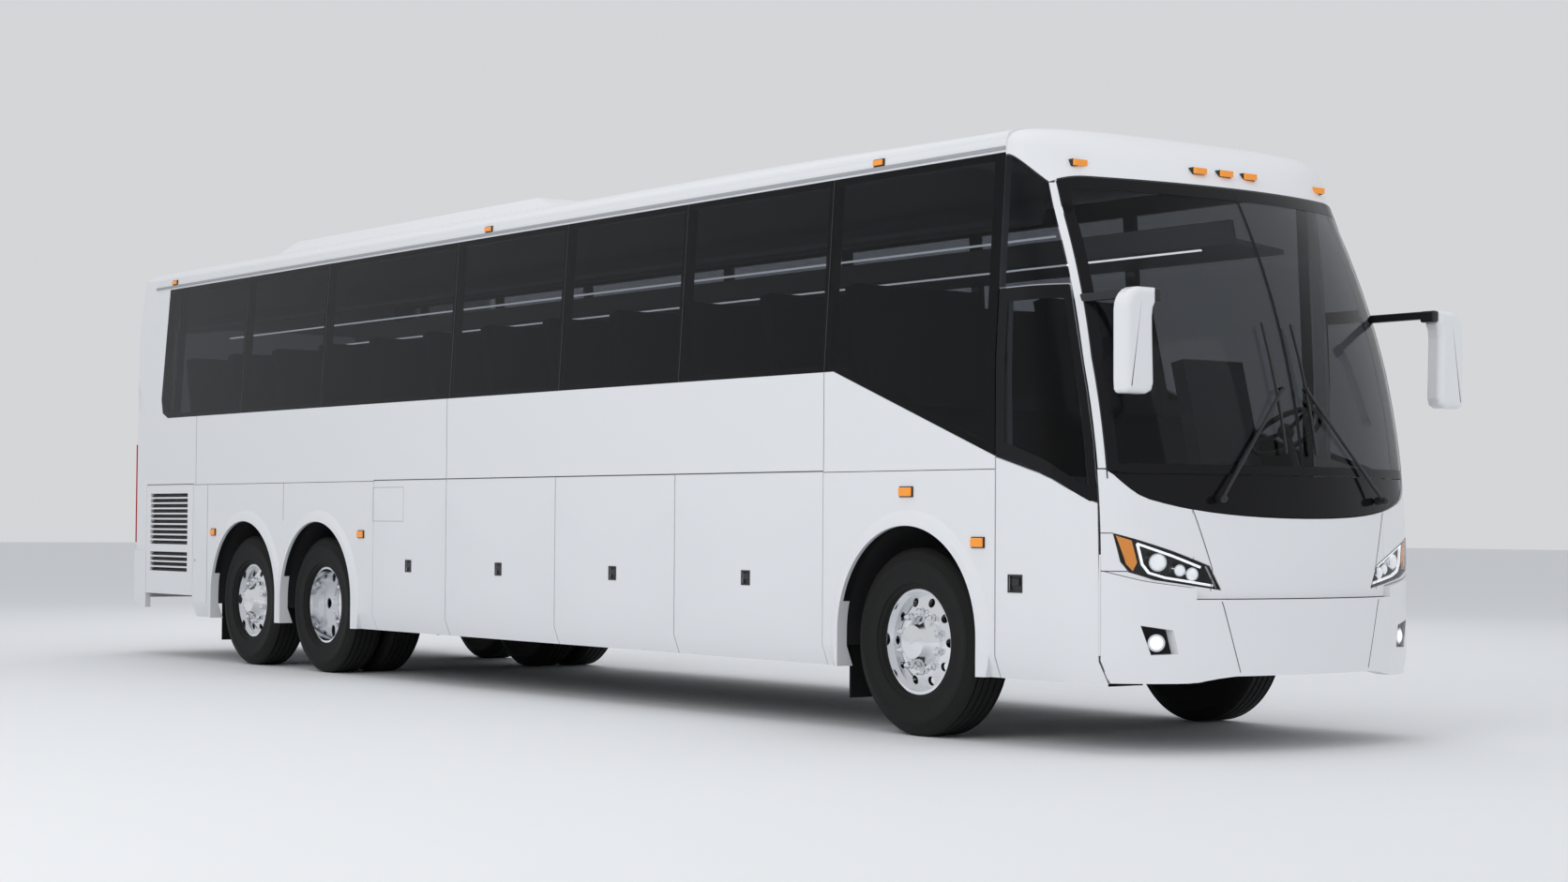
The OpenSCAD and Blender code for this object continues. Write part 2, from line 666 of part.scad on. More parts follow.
cowl_in = 9;
module wiper_cowl() {
    color("dimgray") skin(function (z) -pillar_u + 0.01, function (z) pillar_u - 0.01,
        function (k) cowl_z(mix(-pillar_u, pillar_u, k)), function (k) max(screen_low_z, cowl_z(mix(-pillar_u, pillar_u, k)) + 15) - 3,
        26, 2, function (u) -cowl_in, panel_t);
}

// How far the bumper stands proud: whole over the middle, nothing at the doors
function proud(u) = let (k = min(1, max(0, (abs(u) - 0.6) / 0.75))) bumper_proud * (1 - k * k * (3 - 2 * k));
proud = function (u) proud(u);
function bumper_low(u) = let (e = min(1, max(0, (abs(u) - 0.5) / 0.35)))
    mix(bumper_low_z + 10, skirt_z + 5, e * e * (3 - 2 * e));
module front_bumper() {
    g = 0.003;
    color("white") difference() {
        union() {
            skin(function (z) -seam_u - g, function (z) seam_u + g, function (k) bumper_low(mix(-seam_u, seam_u, k)),
                function (k) bumper_top_z, 14, 5, proud);
            both_sides() skin(function (z) seam_u, function (z) door_u - 0.02,
                function (k) bumper_low(mix(seam_u, door_u, k)), function (k) bumper_z(mix(seam_u, door_u, k)), 9, 5, proud);
        }
        both_sides() lamp_cut(0.6);
        both_sides() intersection() {
            along_x(nose_x - 700, nose_x + 100) polygon(fog_outline);
            skin(function (z) 0.6, function (z) 1.45, function (k) 450, function (k) 750, 12, 2,
                function (u) proud(u) + 5, fog_deep);
        }
    }
}
fog_outline = [[1045, 680], [885, 655], [855, 530], [995, 525]];
fog_deep = 25;
fog_place = [955, 588];

module windshield() {
    color([0.1, 0.12, 0.14]) both_sides()
        skin(function (z) 0.004, function (z) pillar_u - 0.008,
            function (k) max(screen_low_z, cowl_z(k * pillar_u) + 15), function (k) brow_low(k * pillar_u) - 4,
            24, 14, function (u) 0, glass_t);
}

module window_glass() {
    seams = concat([cap_x + door_gap], [for (i = [1:7]) window_posts[i]], [glass_rear_x - 10]);
    color([0.1, 0.12, 0.14]) {
        both_sides() for (i = [0:7]) intersection() {
            along_x(rear_cap_x, cap_x - 3) side_band(belt_z - 200, glass_top_z - 3, 0, glass_t - 0.1);
            along_y(0, body_w) intersection() {
                offset(delta = -3) glass_outline();
                translate([seams[i + 1] + 3, 0]) square([seams[i] - seams[i + 1] - 6, gutter_z]);
            }
        }
        // pane over the entry door, and the driver's pane opposite
        mirror([0, 1, 0]) skin(function (z) door_u - 0.015, function (z) side_u(cap_x + seat_gap, z),
            function (k) door_top_z + door_gap, side_top, 6, 4, function (u) 0, glass_t);
        front_side_pane(side_top, door_u - 0.015, cap_x + 3);
        intersection() {
            translate([rear_x - 10, 0, 0]) rear_window(3);
            along_y(-body_w, body_w) difference() { rear_side(0); rear_side(glass_t); }
        }
    }
}

module front_lamps() {
    color([0.85, 0.87, 0.9]) both_sides() intersection() {
        skin(function (z) 0.5, function (z) 1.4, function (k) 800, function (k) 1220, 10, 3, function (u) 0, 120);
        lamp_cut(0);
    }
    // fog lamps
    color([0.85, 0.87, 0.9]) both_sides() intersection() {
        along_x(nose_x - 700, nose_x + 100) translate(fog_place) circle(42);
        skin(function (z) 0.6, function (z) 1.45, function (k) 450, function (k) 750, 12, 2,
            function (u) proud(u) - 4, fog_deep - seat_gap);
    }
}

// Marker lamps: along the sides, under the roof and over the windscreen
lamp_h = 50;
module marker_lamps() {
    y = side_y(roof_lamp_z - 17) + seat_gap;
    color("orange") {
        both_sides() {
            for (p = [[tag_x - 620, 1100, 80], [drive_x + 745, 1100, 90], [front_x + 615, 1105, 100], [front_x - 10, 1387, 110]])
                box([p[0] - p[2] / 2, p[0] + p[2] / 2], [half_w + seat_gap, half_w + 18], [p[1] - lamp_h / 2, p[1] + lamp_h / 2]);
            for (x = [front_x - 365, front_x - 4870, rear_cap_x + 400])
                box([x - 45, x + 45], [y, y + 16], [roof_lamp_z - 17, roof_lamp_z + 17]);
        }
        difference() {
            for (y = [-950, -200, 0, 200, 950]) let (p = front_at(y, head_lamp_z))
                box([p[0] - 35, p[0] + 10], [y - 45, y + 45], [head_lamp_z - 17, head_lamp_z + 17]);
            brow();
        }
    }
}
roof_lamp_z = 3308;
head_lamp_z = 3182;
function front_at(y, z) = skin_pt(front_u(abs(y)) * sign(y), z, 0);

// Mirrors: a head that hangs from its arm in one curve, seen from the front
mirror_x = front_x + 1715;
mirror_z = [1885, 2440];
mirror_y = [1120, 1335];
module mirror_outline() {
    r = 110;
    hull() {
        translate([mirror_y[0] + 40, mirror_z[0] + 40]) circle(35, $fn = 32);
        translate([mirror_y[1] - 45, mirror_z[0] + 45]) circle(45, $fn = 32);
        translate([mirror_y[1] - r, mirror_z[1] - r]) circle(r, $fn = 32);
        translate([mirror_y[0] + 45, mirror_z[1] - 90]) circle(40, $fn = 32);
    }
    hull() {
        translate([mirror_y[1] - r, mirror_z[1] - r]) circle(r, $fn = 32);
        translate([mirror_y[0] - 20, mirror_z[1] - 80]) square([10, 80]);
    }
}
module mirrors() {
    foot = skin_pt(pillar_u + 0.05, mirror_z[1] - 45, -22.5);
    color("white") both_sides() {
        along_x(mirror_x, mirror_x + 95) mirror_outline();
        along_y(foot[1] - 60, mirror_y[0]) polygon([[mirror_x + 5, mirror_z[1] - 70], [mirror_x + 60, mirror_z[1] - 70],
            [mirror_x + 60, mirror_z[1] - 15], [mirror_x + 5, mirror_z[1] - 15]]);
        bar([mirror_x + 30, foot[1] - 20, mirror_z[1] - 42], foot, 22);
    }
}

module wiper(pivot_u, tip, blade_low, blade_high) {
    bar(skin_pt(pivot_u, 1350, cowl_in - 20.6), skin_pt(pivot_u, 1350, -60), 22);
    bar(skin_pt(pivot_u, 1350, -48), skin_pt(tip[0], tip[1], -48), 10);
    n = 4;
    for (i = [0:n-1]) bar(
        skin_pt(mix(blade_low[0], blade_high[0], i / n), mix(blade_low[1], blade_high[1], i / n), -34),
        skin_pt(mix(blade_low[0], blade_high[0], (i + 1) / n), mix(blade_low[1], blade_high[1], (i + 1) / n), -34), 9);
    bar(skin_pt(tip[0], tip[1], -52), skin_pt(tip[0], tip[1], -30), 12);
}
module wipers() {
    color("black") {
        wiper(-0.58, [-0.115, 1950], [-0.14, 1604], [-0.155, 2307]);
        wiper(0.65, [0.06, 1950], [0.08, 1600], [0.06, 2307]);
    }
}

flap_t = 12;
module mud_flaps() {
    color("black") both_sides() {
        for (x = [front_x, tag_x]) box([x - house_r - house_t - flap_t, x - house_r - house_t - seat_gap],
            [half_w - 400, half_w - 105], [180, 600]);
    }
}

// Entry door, built on the left and mirrored to the right
door_top = function (k) door_top_z;
door_hinge = skin_pt(door_u - 0.01, upright_z, 0);
door_hinge_r = 4.8;
door_latch_x = door_rear_x + 160;
module entry_door() {
    color("white") mirror([0, 1, 0]) {
        difference() {
            front_side(door_low_z, door_top, door_u, door_rear_x);
            box([door_latch_x - 55, door_latch_x + 55], [half_w - 14, half_w + 1], [latch_z - 27, latch_z + 63]);
        }
        translate([door_hinge[0], door_hinge[1], crease_z + 30])
            cylinder(h = upright_z - crease_z + 20, r = door_hinge_r);
    }
}
module entry_door_glass() {
    color([0.1, 0.12, 0.14]) mirror([0, 1, 0]) front_side_pane(door_top, door_u, door_rear_x);
}

// Structure under the floor
// Round liner over each wheel, hung from the floor
house_r = arch_r + 22;
house_t = 8;
module wheel_house(x) {
    difference() {
        union() {
            rod_y(x, arch_z, 470, half_w - wall_t - seat_gap, house_r + house_t);
            box([x - 5, x + 5], [470, half_w - wall_t - seat_gap], [arch_z + house_r, floor_z - floor_t - seat_gap]);
        }
        rod_y(x, arch_z, 0, body_w, house_r);
        box([x - 1000, x + 1000], [0, body_w], [-1000, crease_z + 1]);
    }
}

// Floor of the luggage bays and the bulkheads between them
module luggage_floor() {
    w = side_y(bay_floor_z) - panel_t - 10;
    wb = half_w - panel_t - 25;
    color("dimgray") {
        box([bay_x[4], bay_x[0]], [-w, w], [bay_floor_z, bay_floor_z + bay_floor_t]);
        for (x = bay_x) box([x - bulkhead_t / 2, x + bulkhead_t / 2], [-wb, wb],
            [bay_floor_z + bay_floor_t + seat_gap, floor_z - floor_t - seat_gap]);
    }
}

bar_deep = 90;
// Bar behind the front panels
module cross_bar(u, z) skin(function (k) -u, function (k) u, function (k) z[0], function (k) z[1], 26, 1,
    function (u) -panel_t - 0.7, bar_deep);
module underframe() {
    end = bulkhead_t / 2 + seat_gap;
    color("dimgray") {
        cross_bar(0.8, [560, 620]);
        cross_bar(1.36, [1185, 1215]);
        cross_bar(1.3, [1330, 1360]);
        both_sides() {
            for (x = [front_x, drive_x, tag_x]) wheel_house(x);
            // towing lugs under the front ends of the rails
            difference() {
                box([tow_x - 60, tow_x + 60], [rail_y - tow_lug_t / 2, rail_y + tow_lug_t / 2], [tow_z - 60, rail_z]);
                rod_y(tow_x, tow_z, 0, 1000, tow_hole_d / 2);
            }
            // post and arms out to the bars
            box([nose_x - 320, nose_x - 250], [rail_y - rail_w / 2, rail_y + rail_w / 2], [560, 1360]);
            for (z = [[565, 615], [1187, 1213], [1332, 1358]])
                box([nose_x - 320, nose_x - bar_deep - 15], [rail_y - 30, rail_y + 30], z);
            // jacking pads
            for (x = [bay_x[0] - 150, bay_x[4] + 150])
                translate([x, 950, bay_floor_z - jack_h]) cylinder(h = jack_h - seat_gap, r = jack_pad_d / 2);
            // rails over the front axle and over the rear axles
            box([bay_x[0] + end, nose_x - 250], [rail_y - rail_w / 2, rail_y + rail_w / 2], [rail_z, rail_z + rail_h]);
            box([rear_x + 100, bay_x[4] - end], [rail_y - rail_w / 2, rail_y + rail_w / 2], [rail_z, rail_z + rail_h]);
            // posts from the rails to the floor
            for (x = [tag_x - 700, rear_x + 150, drive_x - tag_gap / 2])
                box([x - 50, x + 50], [rail_y - rail_w / 2, rail_y + rail_w / 2], [rail_z, floor_z - floor_t - seat_gap]);
            box([door_rear_x - 150, door_rear_x - 50], [rail_y - rail_w / 2, rail_y + rail_w / 2],
                [rail_z, driver_z - 40 - seat_gap]);
        }
    }
}

// Steps at the entry door
stair_run = 190;
stair_out = half_w - wall_t - 40;
stair_x = door_rear_x - 105;
function stair_z(i) = mix(bay_floor_z + bay_floor_t, driver_z, i / 3);
module entry_steps() {
    color("gray") for (i = [0:2]) box([stair_x, nose_x - 560],
        [-stair_out + stair_run * i, -stair_out + stair_run * (i + 1) - seat_gap], [bay_floor_z + 20, stair_z(i)]);
}
module cabin_floor() {
    w = half_w - wall_t;
    color("gray") {
        along_z(floor_z - floor_t, floor_z) rear_plan(wall_t + seat_gap);
        box([rear_cap_x - 1, door_rear_x - 200], [-w, w], [floor_z - floor_t, floor_z]);
        box([door_rear_x - 240, door_rear_x - 200], [-w, w], [driver_z - 40, floor_z]);
        box([stair_x, nose_x - 560], [-stair_out + 3 * stair_run, -stair_out + 3 * stair_run + 40],
            [bay_floor_z + 20, driver_z - 20]);
        // driver's floor and the landing beside it
        along_z(driver_z - 40, driver_z) difference() {
            polygon(concat([[door_rear_x - 241, -w], [door_rear_x - 241, w]],
                [for (i = [12:-1:-12]) let (u = 1.9 * i / 12, p = skin_pt(u, driver_z, wall_t + 15)) [min(nose_x - 420, p[0]), p[1]]]));
            translate([stair_x, -body_w]) square([2000, body_w - stair_out + 3 * stair_run]);
        }
    }
}

// Wheels
module tyre_at(x, y) {
    r = tyre_d / 2;
    b = tyre_w / 2;
    translate([x, y, hub_z]) rotate([-90, 0, 0]) rotate_extrude()
        polygon([[rim_d / 2 - 14, -b + 40], [rim_d / 2 + 20, -b + 14], [r - 130, -b], [r - 50, -b + 8], [r - 12, -b + 30], [r, -b + 70],
            [r, b - 70], [r - 12, b - 30], [r - 50, b - 8], [r - 130, b], [rim_d / 2 + 20, b - 14], [rim_d / 2 - 14, b - 40]]);
}
module rim_at(x, y, dish) {
    r = rim_d / 2 - 14;
    b = tyre_w / 2 - 40;
    h = spindle_d / 2 + run_gap;
    translate([x, y, hub_z]) rotate([-90, 0, 0]) difference() {
        rotate_extrude() polygon([[h, dish - hub_in], [150, dish - hub_in], [190, dish - 12], [r - 16, dish - 30],
            [r - 16, -b], [r, -b], [r, b], [r - 16, b], [r - 16, dish - 10], [190, dish + 12], [150, dish + 10],
            [120, dish + 40], [95, dish + hub_out + 15], [0, dish + hub_out + 25], [0, dish + hub_out], [h, dish + hub_out]]);
        for (i = [0:9]) rotate([0, 0, 36 * i]) translate([232, 0, dish - 100]) cylinder(h = 200, r = 26);
    }
}
// The hub runs from hub_in behind the disc to hub_out before it
hub_in = 60;
hub_out = 70;
spindle_end = hub_out - 10;
dish_front = 70;
dish_drive = -90;
module tyre_front() color("dimgray") tyre_at(front_x, tyre_y);
module tyre_tag() color("dimgray") tyre_at(tag_x, tyre_y);
module tyre_drive() color("dimgray") for (y = [tyre_y, inner_tyre_y]) tyre_at(drive_x, y);
module rim_front() color("silver") rim_at(front_x, tyre_y, dish_front);
module rim_tag() color("silver") rim_at(tag_x, tyre_y, dish_front);
module rim_drive() color("silver") {
    rim_at(drive_x, tyre_y, dish_drive);
    // the inner wheel's disc faces the outer one's, with the axle through both
    translate([drive_x, inner_tyre_y, hub_z]) rotate([-90, 0, 0]) rotate_extrude()
        polygon([[spindle_d / 2 + run_gap, 60], [rim_d / 2 - 30, 60], [rim_d / 2 - 30, 40 - tyre_w / 2],
            [rim_d / 2 - 14, 40 - tyre_w / 2], [rim_d / 2 - 14, tyre_w / 2 - 40],
            [rim_d / 2 - 40, tyre_w / 2 - 40], [rim_d / 2 - 40, 90], [spindle_d / 2 + run_gap, 90]]);
}

// Front axle with its kingpins, and the knuckles that carry the front wheels
king_y = tyre_y - 190;
eye_h = 120;
module knuckle() {
    color("dimgray") {
        difference() {
            union() {
                translate([front_x, king_y, hub_z - 110]) cylinder(h = 220, r = 48);
                box([front_x - 40, front_x + 40], [king_y, king_y + 110], [hub_z - 110, hub_z + 110]);
            }
            translate([front_x, king_y, hub_z - eye_h / 2 - seat_gap]) cylinder(h = eye_h + 2 * seat_gap, r = 60);
        }
        translate([front_x, king_y, hub_z - 110]) cylinder(h = 220, r = kingpin_d / 2);
        rod_y(front_x, hub_z, king_y + 64, tyre_y + dish_front + spindle_end, spindle_d / 2);
    }
}
module front_axle() {
    color("dimgray") {
        difference() {
            union() {
                box([front_x - 45, front_x + 45], [-king_y + 40, king_y - 40], [hub_z - 60, hub_z + 30]);
                both_sides() translate([front_x, king_y, hub_z - eye_h / 2]) cylinder(h = eye_h, r = 56);
            }
            both_sides() translate([front_x, king_y, 0]) cylinder(h = 2000, r = kingpin_d / 2 + run_gap);
        }
        both_sides() translate([front_x, rail_y, hub_z + 30]) cylinder(h = rail_z - hub_z - 30, r = 110);
    }
}
module rear_axle(x, y) {
    rod_y(x, hub_z, -y, y, spindle_d / 2);
    rod_y(x, hub_z, -inner_tyre_y + 230, inner_tyre_y - 230, 70);
    both_sides() translate([x, rail_y, hub_z]) cylinder(h = rail_z - hub_z, r = 100);
}
module drive_axle() {
    color("dimgray") {
        rear_axle(drive_x, tyre_y + dish_drive + spindle_end);
        translate([drive_x, 0, hub_z]) sphere(r = 200);
    }
}
module tag_axle() {
    color("dimgray") rear_axle(tag_x, tyre_y + dish_front + spindle_end);
}

engine_y = rail_y - rail_w / 2 - seat_gap;
module engine() {
    color("darkslategray") box([rear_x + 300, rear_x + 1500], [-engine_y, engine_y], [560, 1400]);
}
module dashboard() {
    color("black") {
        along_y(-300, 1000) polygon([[nose_x - 700, 1350], [nose_x - 620, 1480], [nose_x - 330, 1450], [nose_x - 330, 1250],
            [nose_x - 480, driver_z + seat_gap], [nose_x - 560, driver_z + seat_gap]]);
        bar([nose_x - 600, 620, 1420], wheel_c, 25);
        translate(wheel_c) rotate([0, -35, 0]) {
            for (i = [0:19]) bar(ring_pt(i), ring_pt(i + 1), 16);
            for (i = [0, 7, 13]) bar([0, 0, 0], ring_pt(i), 12);
            sphere(50, $fn = 16);
        }
    }
}
wheel_c = [nose_x - 730, 620, 1750];
function ring_pt(i) = steering_r * [cos(18 * i), sin(18 * i), 0];
steering_r = 220;
module seat_shape(w) along_y(-w / 2, w / 2)
    polygon([[120, 0], [120, 360], [20, 400], [-160, 1120], [-60, 1140], [110, 480], [480, 500], [500, 400], [400, 360], [400, 0]]);
module driver_seat() {
    color("dimgray") translate([door_rear_x - 180, 620, driver_z + seat_gap]) seat_shape(500);
}
// Half width of the aisle, and the width of a pair of seats beside it
aisle = 270;
pair_w = half_w - wall_t - 35 - aisle;
module passenger_seats() {
    color("slategray") both_sides()
        for (i = [0:seat_rows-1]) translate([door_rear_x - 1300 - seat_pitch * i, aisle + pair_w / 2, floor_z + seat_gap])
            seat_shape(pair_w);
}
rack_y = side_y(2890) - wall_t - seat_gap;
module luggage_racks() {
    color("gray") both_sides() along_x(rear_x + 500, cap_x - 200)
        polygon([[rack_y - 420, 2900], [rack_y, 2860], [rack_y, 2890], [rack_y - 410, 2930], [rack_y - 440, 3040],
            [rack_y - 470, 3040]]);
}

underframe();
luggage_floor();
cabin_floor();
entry_steps();
mirror([0, 1, 0]) side_wall();  // side_wall_right
side_wall_left();
roof();
roof_pod();
roof_hatch();
rear_cap();
rear_bumper();
engine_door();
mirror([0, 1, 0]) grille_door();  // grille_door_right
grille_door();  // grille_door_left
front_cap();
nose_panel();
wiper_cowl();
front_bumper();
windshield();
window_glass();
front_lamps();
tail_lamps();
marker_lamps();
mirrors();
wipers();
mud_flaps();
entry_door();
entry_door_glass();
mirror([0, 1, 0]) bay_door(0);  // bay_door_right_1
mirror([0, 1, 0]) bay_door(1);  // bay_door_right_2
mirror([0, 1, 0]) bay_door(2);  // bay_door_right_3
mirror([0, 1, 0]) bay_door(3);  // bay_door_right_4
bay_door(0);  // bay_door_left_1
bay_door(1);  // bay_door_left_2
bay_door(2);  // bay_door_left_3
bay_door(3);  // bay_door_left_4
front_axle();
drive_axle();
tag_axle();
mirror([0, 1, 0]) knuckle();  // knuckle_right
knuckle();  // knuckle_left
mirror([0, 1, 0]) tyre_front();  // tyre_front_right
mirror([0, 1, 0]) rim_front();  // rim_front_right
tyre_front();  // tyre_front_left
rim_front();  // rim_front_left
mirror([0, 1, 0]) tyre_drive();  // tyre_drive_right
mirror([0, 1, 0]) rim_drive();  // rim_drive_right
tyre_drive();  // tyre_drive_left
rim_drive();  // rim_drive_left
mirror([0, 1, 0]) tyre_tag();  // tyre_tag_right
mirror([0, 1, 0]) rim_tag();  // rim_tag_right
tyre_tag();  // tyre_tag_left
rim_tag();  // rim_tag_left
engine();
dashboard();
driver_seat();
passenger_seats();
luggage_racks();
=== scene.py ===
"""Coach bus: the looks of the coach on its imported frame."""

import json
import math

import bmesh
import bpy
from bpy.props import FloatProperty, FloatVectorProperty, IntProperty, PointerProperty
from mathutils import Matrix, Vector


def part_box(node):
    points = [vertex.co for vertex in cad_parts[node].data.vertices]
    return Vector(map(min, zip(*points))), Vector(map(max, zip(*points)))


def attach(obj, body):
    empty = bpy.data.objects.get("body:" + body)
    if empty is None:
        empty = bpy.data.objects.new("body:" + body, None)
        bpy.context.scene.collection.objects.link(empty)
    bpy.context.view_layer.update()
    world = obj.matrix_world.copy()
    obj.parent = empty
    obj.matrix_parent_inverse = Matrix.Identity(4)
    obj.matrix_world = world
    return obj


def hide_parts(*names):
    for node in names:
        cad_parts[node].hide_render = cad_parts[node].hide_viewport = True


bl_info = {
    "name": "Coach bus",
    "version": (1, 0, 0),
    "blender": (4, 5, 0),
    "location": "3D View > Sidebar > Coach",
    "description": "Builds the paint, glass, wheels, lamps and trim of a highway coach",
    "category": "Object",
}

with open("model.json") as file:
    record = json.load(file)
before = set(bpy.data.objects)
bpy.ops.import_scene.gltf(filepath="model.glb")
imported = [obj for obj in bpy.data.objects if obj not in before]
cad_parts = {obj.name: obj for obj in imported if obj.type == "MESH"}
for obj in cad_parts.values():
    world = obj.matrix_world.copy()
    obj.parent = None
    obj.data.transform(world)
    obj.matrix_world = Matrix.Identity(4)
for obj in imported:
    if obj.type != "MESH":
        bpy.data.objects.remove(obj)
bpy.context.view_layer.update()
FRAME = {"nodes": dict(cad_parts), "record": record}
NODES = FRAME["nodes"]

# Places read from the frame, in metres
WALL_LOW, WALL_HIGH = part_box("side_wall_left")
HALF_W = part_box("rear_cap")[1][1]
FRONT_X = sum(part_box("rim_front_left")[i][0] for i in (0, 1)) / 2
DRIVE_X = sum(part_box("rim_drive_left")[i][0] for i in (0, 1)) / 2
TAG_X = sum(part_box("rim_tag_left")[i][0] for i in (0, 1)) / 2
HUB_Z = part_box("tyre_front_left")[1][2] / 2
TYRE_R = HUB_Z
BAY_X = [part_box("bay_door_left_%d" % i)[1][0] + 0.005 for i in (1, 2, 3, 4)]
BAY_X.append(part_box("bay_door_left_4")[0][0] - 0.005)
CAP_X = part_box("roof")[1][0]
REAR_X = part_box("rear_cap")[0][0]
NOSE_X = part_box("front_bumper")[1][0] - 0.04
GRILLE_LOW, GRILLE_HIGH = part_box("grille_door_left")
BELT_Z = 1.507

# Section of the body: sill of the windows, top of the glass, lean and tuck
SILL_Z = 2.1
GLASS_TOP_Z = 3.25
CREASE_Z = 0.49
SKIRT_Z = 0.445
LEAN = 0.07
GUTTER_Z = 3.33

# Front surface: two rounded corners on a barrel that leans back above the bumper
DOOR_U = 1.45
PILLAR_U = 1.34
BROW_U = 1.42
NOSE_R = 2.6
CORNER_R = 0.46
SCREEN_R = 4.18
UPRIGHT_Z = 1.0
SCREEN_LOW_Z = 1.48
SCREEN_TOP_Z = 3.095
PILLAR_TOP_Z = 3.07
BUMPER_PROUD = 0.04
BUMPER_TOP_Z = 0.815
GLASS_T = 0.008


class CoachSizes(bpy.types.PropertyGroup):
    """Sizes of the coach's trim"""

    seam: FloatProperty(
        name="Panel seam", description="Width of the seams between the panels",
        default=0.004, min=0.002, max=0.01, unit="LENGTH")
    tread: FloatProperty(
        name="Tread depth", description="Depth of the grooves in the tyres",
        default=0.012, min=0.004, max=0.02, unit="LENGTH")
    lens_mm: FloatProperty(
        name="Lens", description="Focal length of the camera on a 36 mm sensor, in millimetres",
        default=60.57, min=20.0, max=200.0)
    nuts: IntProperty(
        name="Wheel nuts", description="Number of nuts on each wheel",
        default=10, min=8, max=10)


class CoachColours(bpy.types.PropertyGroup):
    """Colours of the coach"""

    body: FloatVectorProperty(
        name="Body", description="Colour of the body's paint",
        default=(0.80, 0.81, 0.83), size=3, min=0.0, max=1.0, subtype="COLOR")
    glass: FloatVectorProperty(
        name="Glass", description="Tint of the window glass",
        default=(0.16, 0.17, 0.185), size=3, min=0.0, max=1.0, subtype="COLOR")
    amber: FloatVectorProperty(
        name="Amber", description="Colour of the marker lamps",
        default=(0.90, 0.30, 0.02), size=3, min=0.0, max=1.0, subtype="COLOR")
    seats: FloatVectorProperty(
        name="Seats", description="Colour of the seat covers",
        default=(0.06, 0.065, 0.08), size=3, min=0.0, max=1.0, subtype="COLOR")


def sizes():
    return bpy.context.scene.coach_sizes


def colours():
    return bpy.context.scene.coach_colours


# Materials
def grain_group():
    """Fine noise that varies the roughness and gives a small bump height."""
    group = bpy.data.node_groups.get("Fine grain")
    if group:
        return group
    group = bpy.data.node_groups.new("Fine grain", "ShaderNodeTree")
    face = group.interface
    for name, value in (("Scale", 40.0), ("Low", 0.3), ("High", 0.4)):
        socket = face.new_socket(name, in_out="INPUT", socket_type="NodeSocketFloat")
        socket.default_value = value
    face.new_socket("Roughness", in_out="OUTPUT", socket_type="NodeSocketFloat")
    face.new_socket("Height", in_out="OUTPUT", socket_type="NodeSocketFloat")
    n, link = group.nodes, group.links
    start, end = n.new("NodeGroupInput"), n.new("NodeGroupOutput")
    place, noise, span = n.new("ShaderNodeTexCoord"), n.new("ShaderNodeTexNoise"), n.new("ShaderNodeMapRange")
    link.new(place.outputs["Object"], noise.inputs["Vector"])
    link.new(start.outputs["Scale"], noise.inputs["Scale"])
    link.new(noise.outputs["Fac"], span.inputs["Value"])
    link.new(start.outputs["Low"], span.inputs["To Min"])
    link.new(start.outputs["High"], span.inputs["To Max"])
    link.new(span.outputs["Result"], end.inputs["Roughness"])
    link.new(noise.outputs["Fac"], end.inputs["Height"])
    return group


def interior_shade_group():
    """Mask of what lies below the outer skin of the side walls, which is painted near black as painted shade of the
    interior.
    """
    group = bpy.data.node_groups.get("Painted interior shade")
    if group:
        return group
    group = bpy.data.node_groups.new("Painted interior shade", "ShaderNodeTree")
    face = group.interface
    for name, value in (("Half width", HALF_W), ("Sill", SILL_Z), ("Lean", LEAN / (GLASS_TOP_Z - SILL_Z))):
        socket = face.new_socket(name, in_out="INPUT", socket_type="NodeSocketFloat")
        socket.default_value = value
    face.new_socket("Mask", in_out="OUTPUT", socket_type="NodeSocketFloat")
    n, link = group.nodes, group.links
    start, end = n.new("NodeGroupInput"), n.new("NodeGroupOutput")
    place, split = n.new("ShaderNodeTexCoord"), n.new("ShaderNodeSeparateXYZ")
    link.new(place.outputs["Object"], split.inputs["Vector"])

    def sum_of(kind, *terms):
        node = n.new("ShaderNodeMath")
        node.operation = kind
        for socket, term in zip(node.inputs, terms):
            if isinstance(term, (int, float)):
                socket.default_value = term
            else:
                link.new(term, socket)
        return node.outputs[0]

    out = sum_of("ABSOLUTE", split.outputs["Y"])
    above = sum_of("MAXIMUM", sum_of("SUBTRACT", split.outputs["Z"], start.outputs["Sill"]), 0.0)
    skin = sum_of("SUBTRACT", start.outputs["Half width"], sum_of("MULTIPLY", above, start.outputs["Lean"]))
    deep = sum_of("SUBTRACT", skin, out)
    below = sum_of("GREATER_THAN", deep, 0.0025)
    high = sum_of("GREATER_THAN", split.outputs["Z"], 0.75)
    back = sum_of("LESS_THAN", split.outputs["X"], CAP_X - 0.003)
    link.new(sum_of("MULTIPLY", sum_of("MULTIPLY", below, high), back), end.inputs["Mask"])
    return group


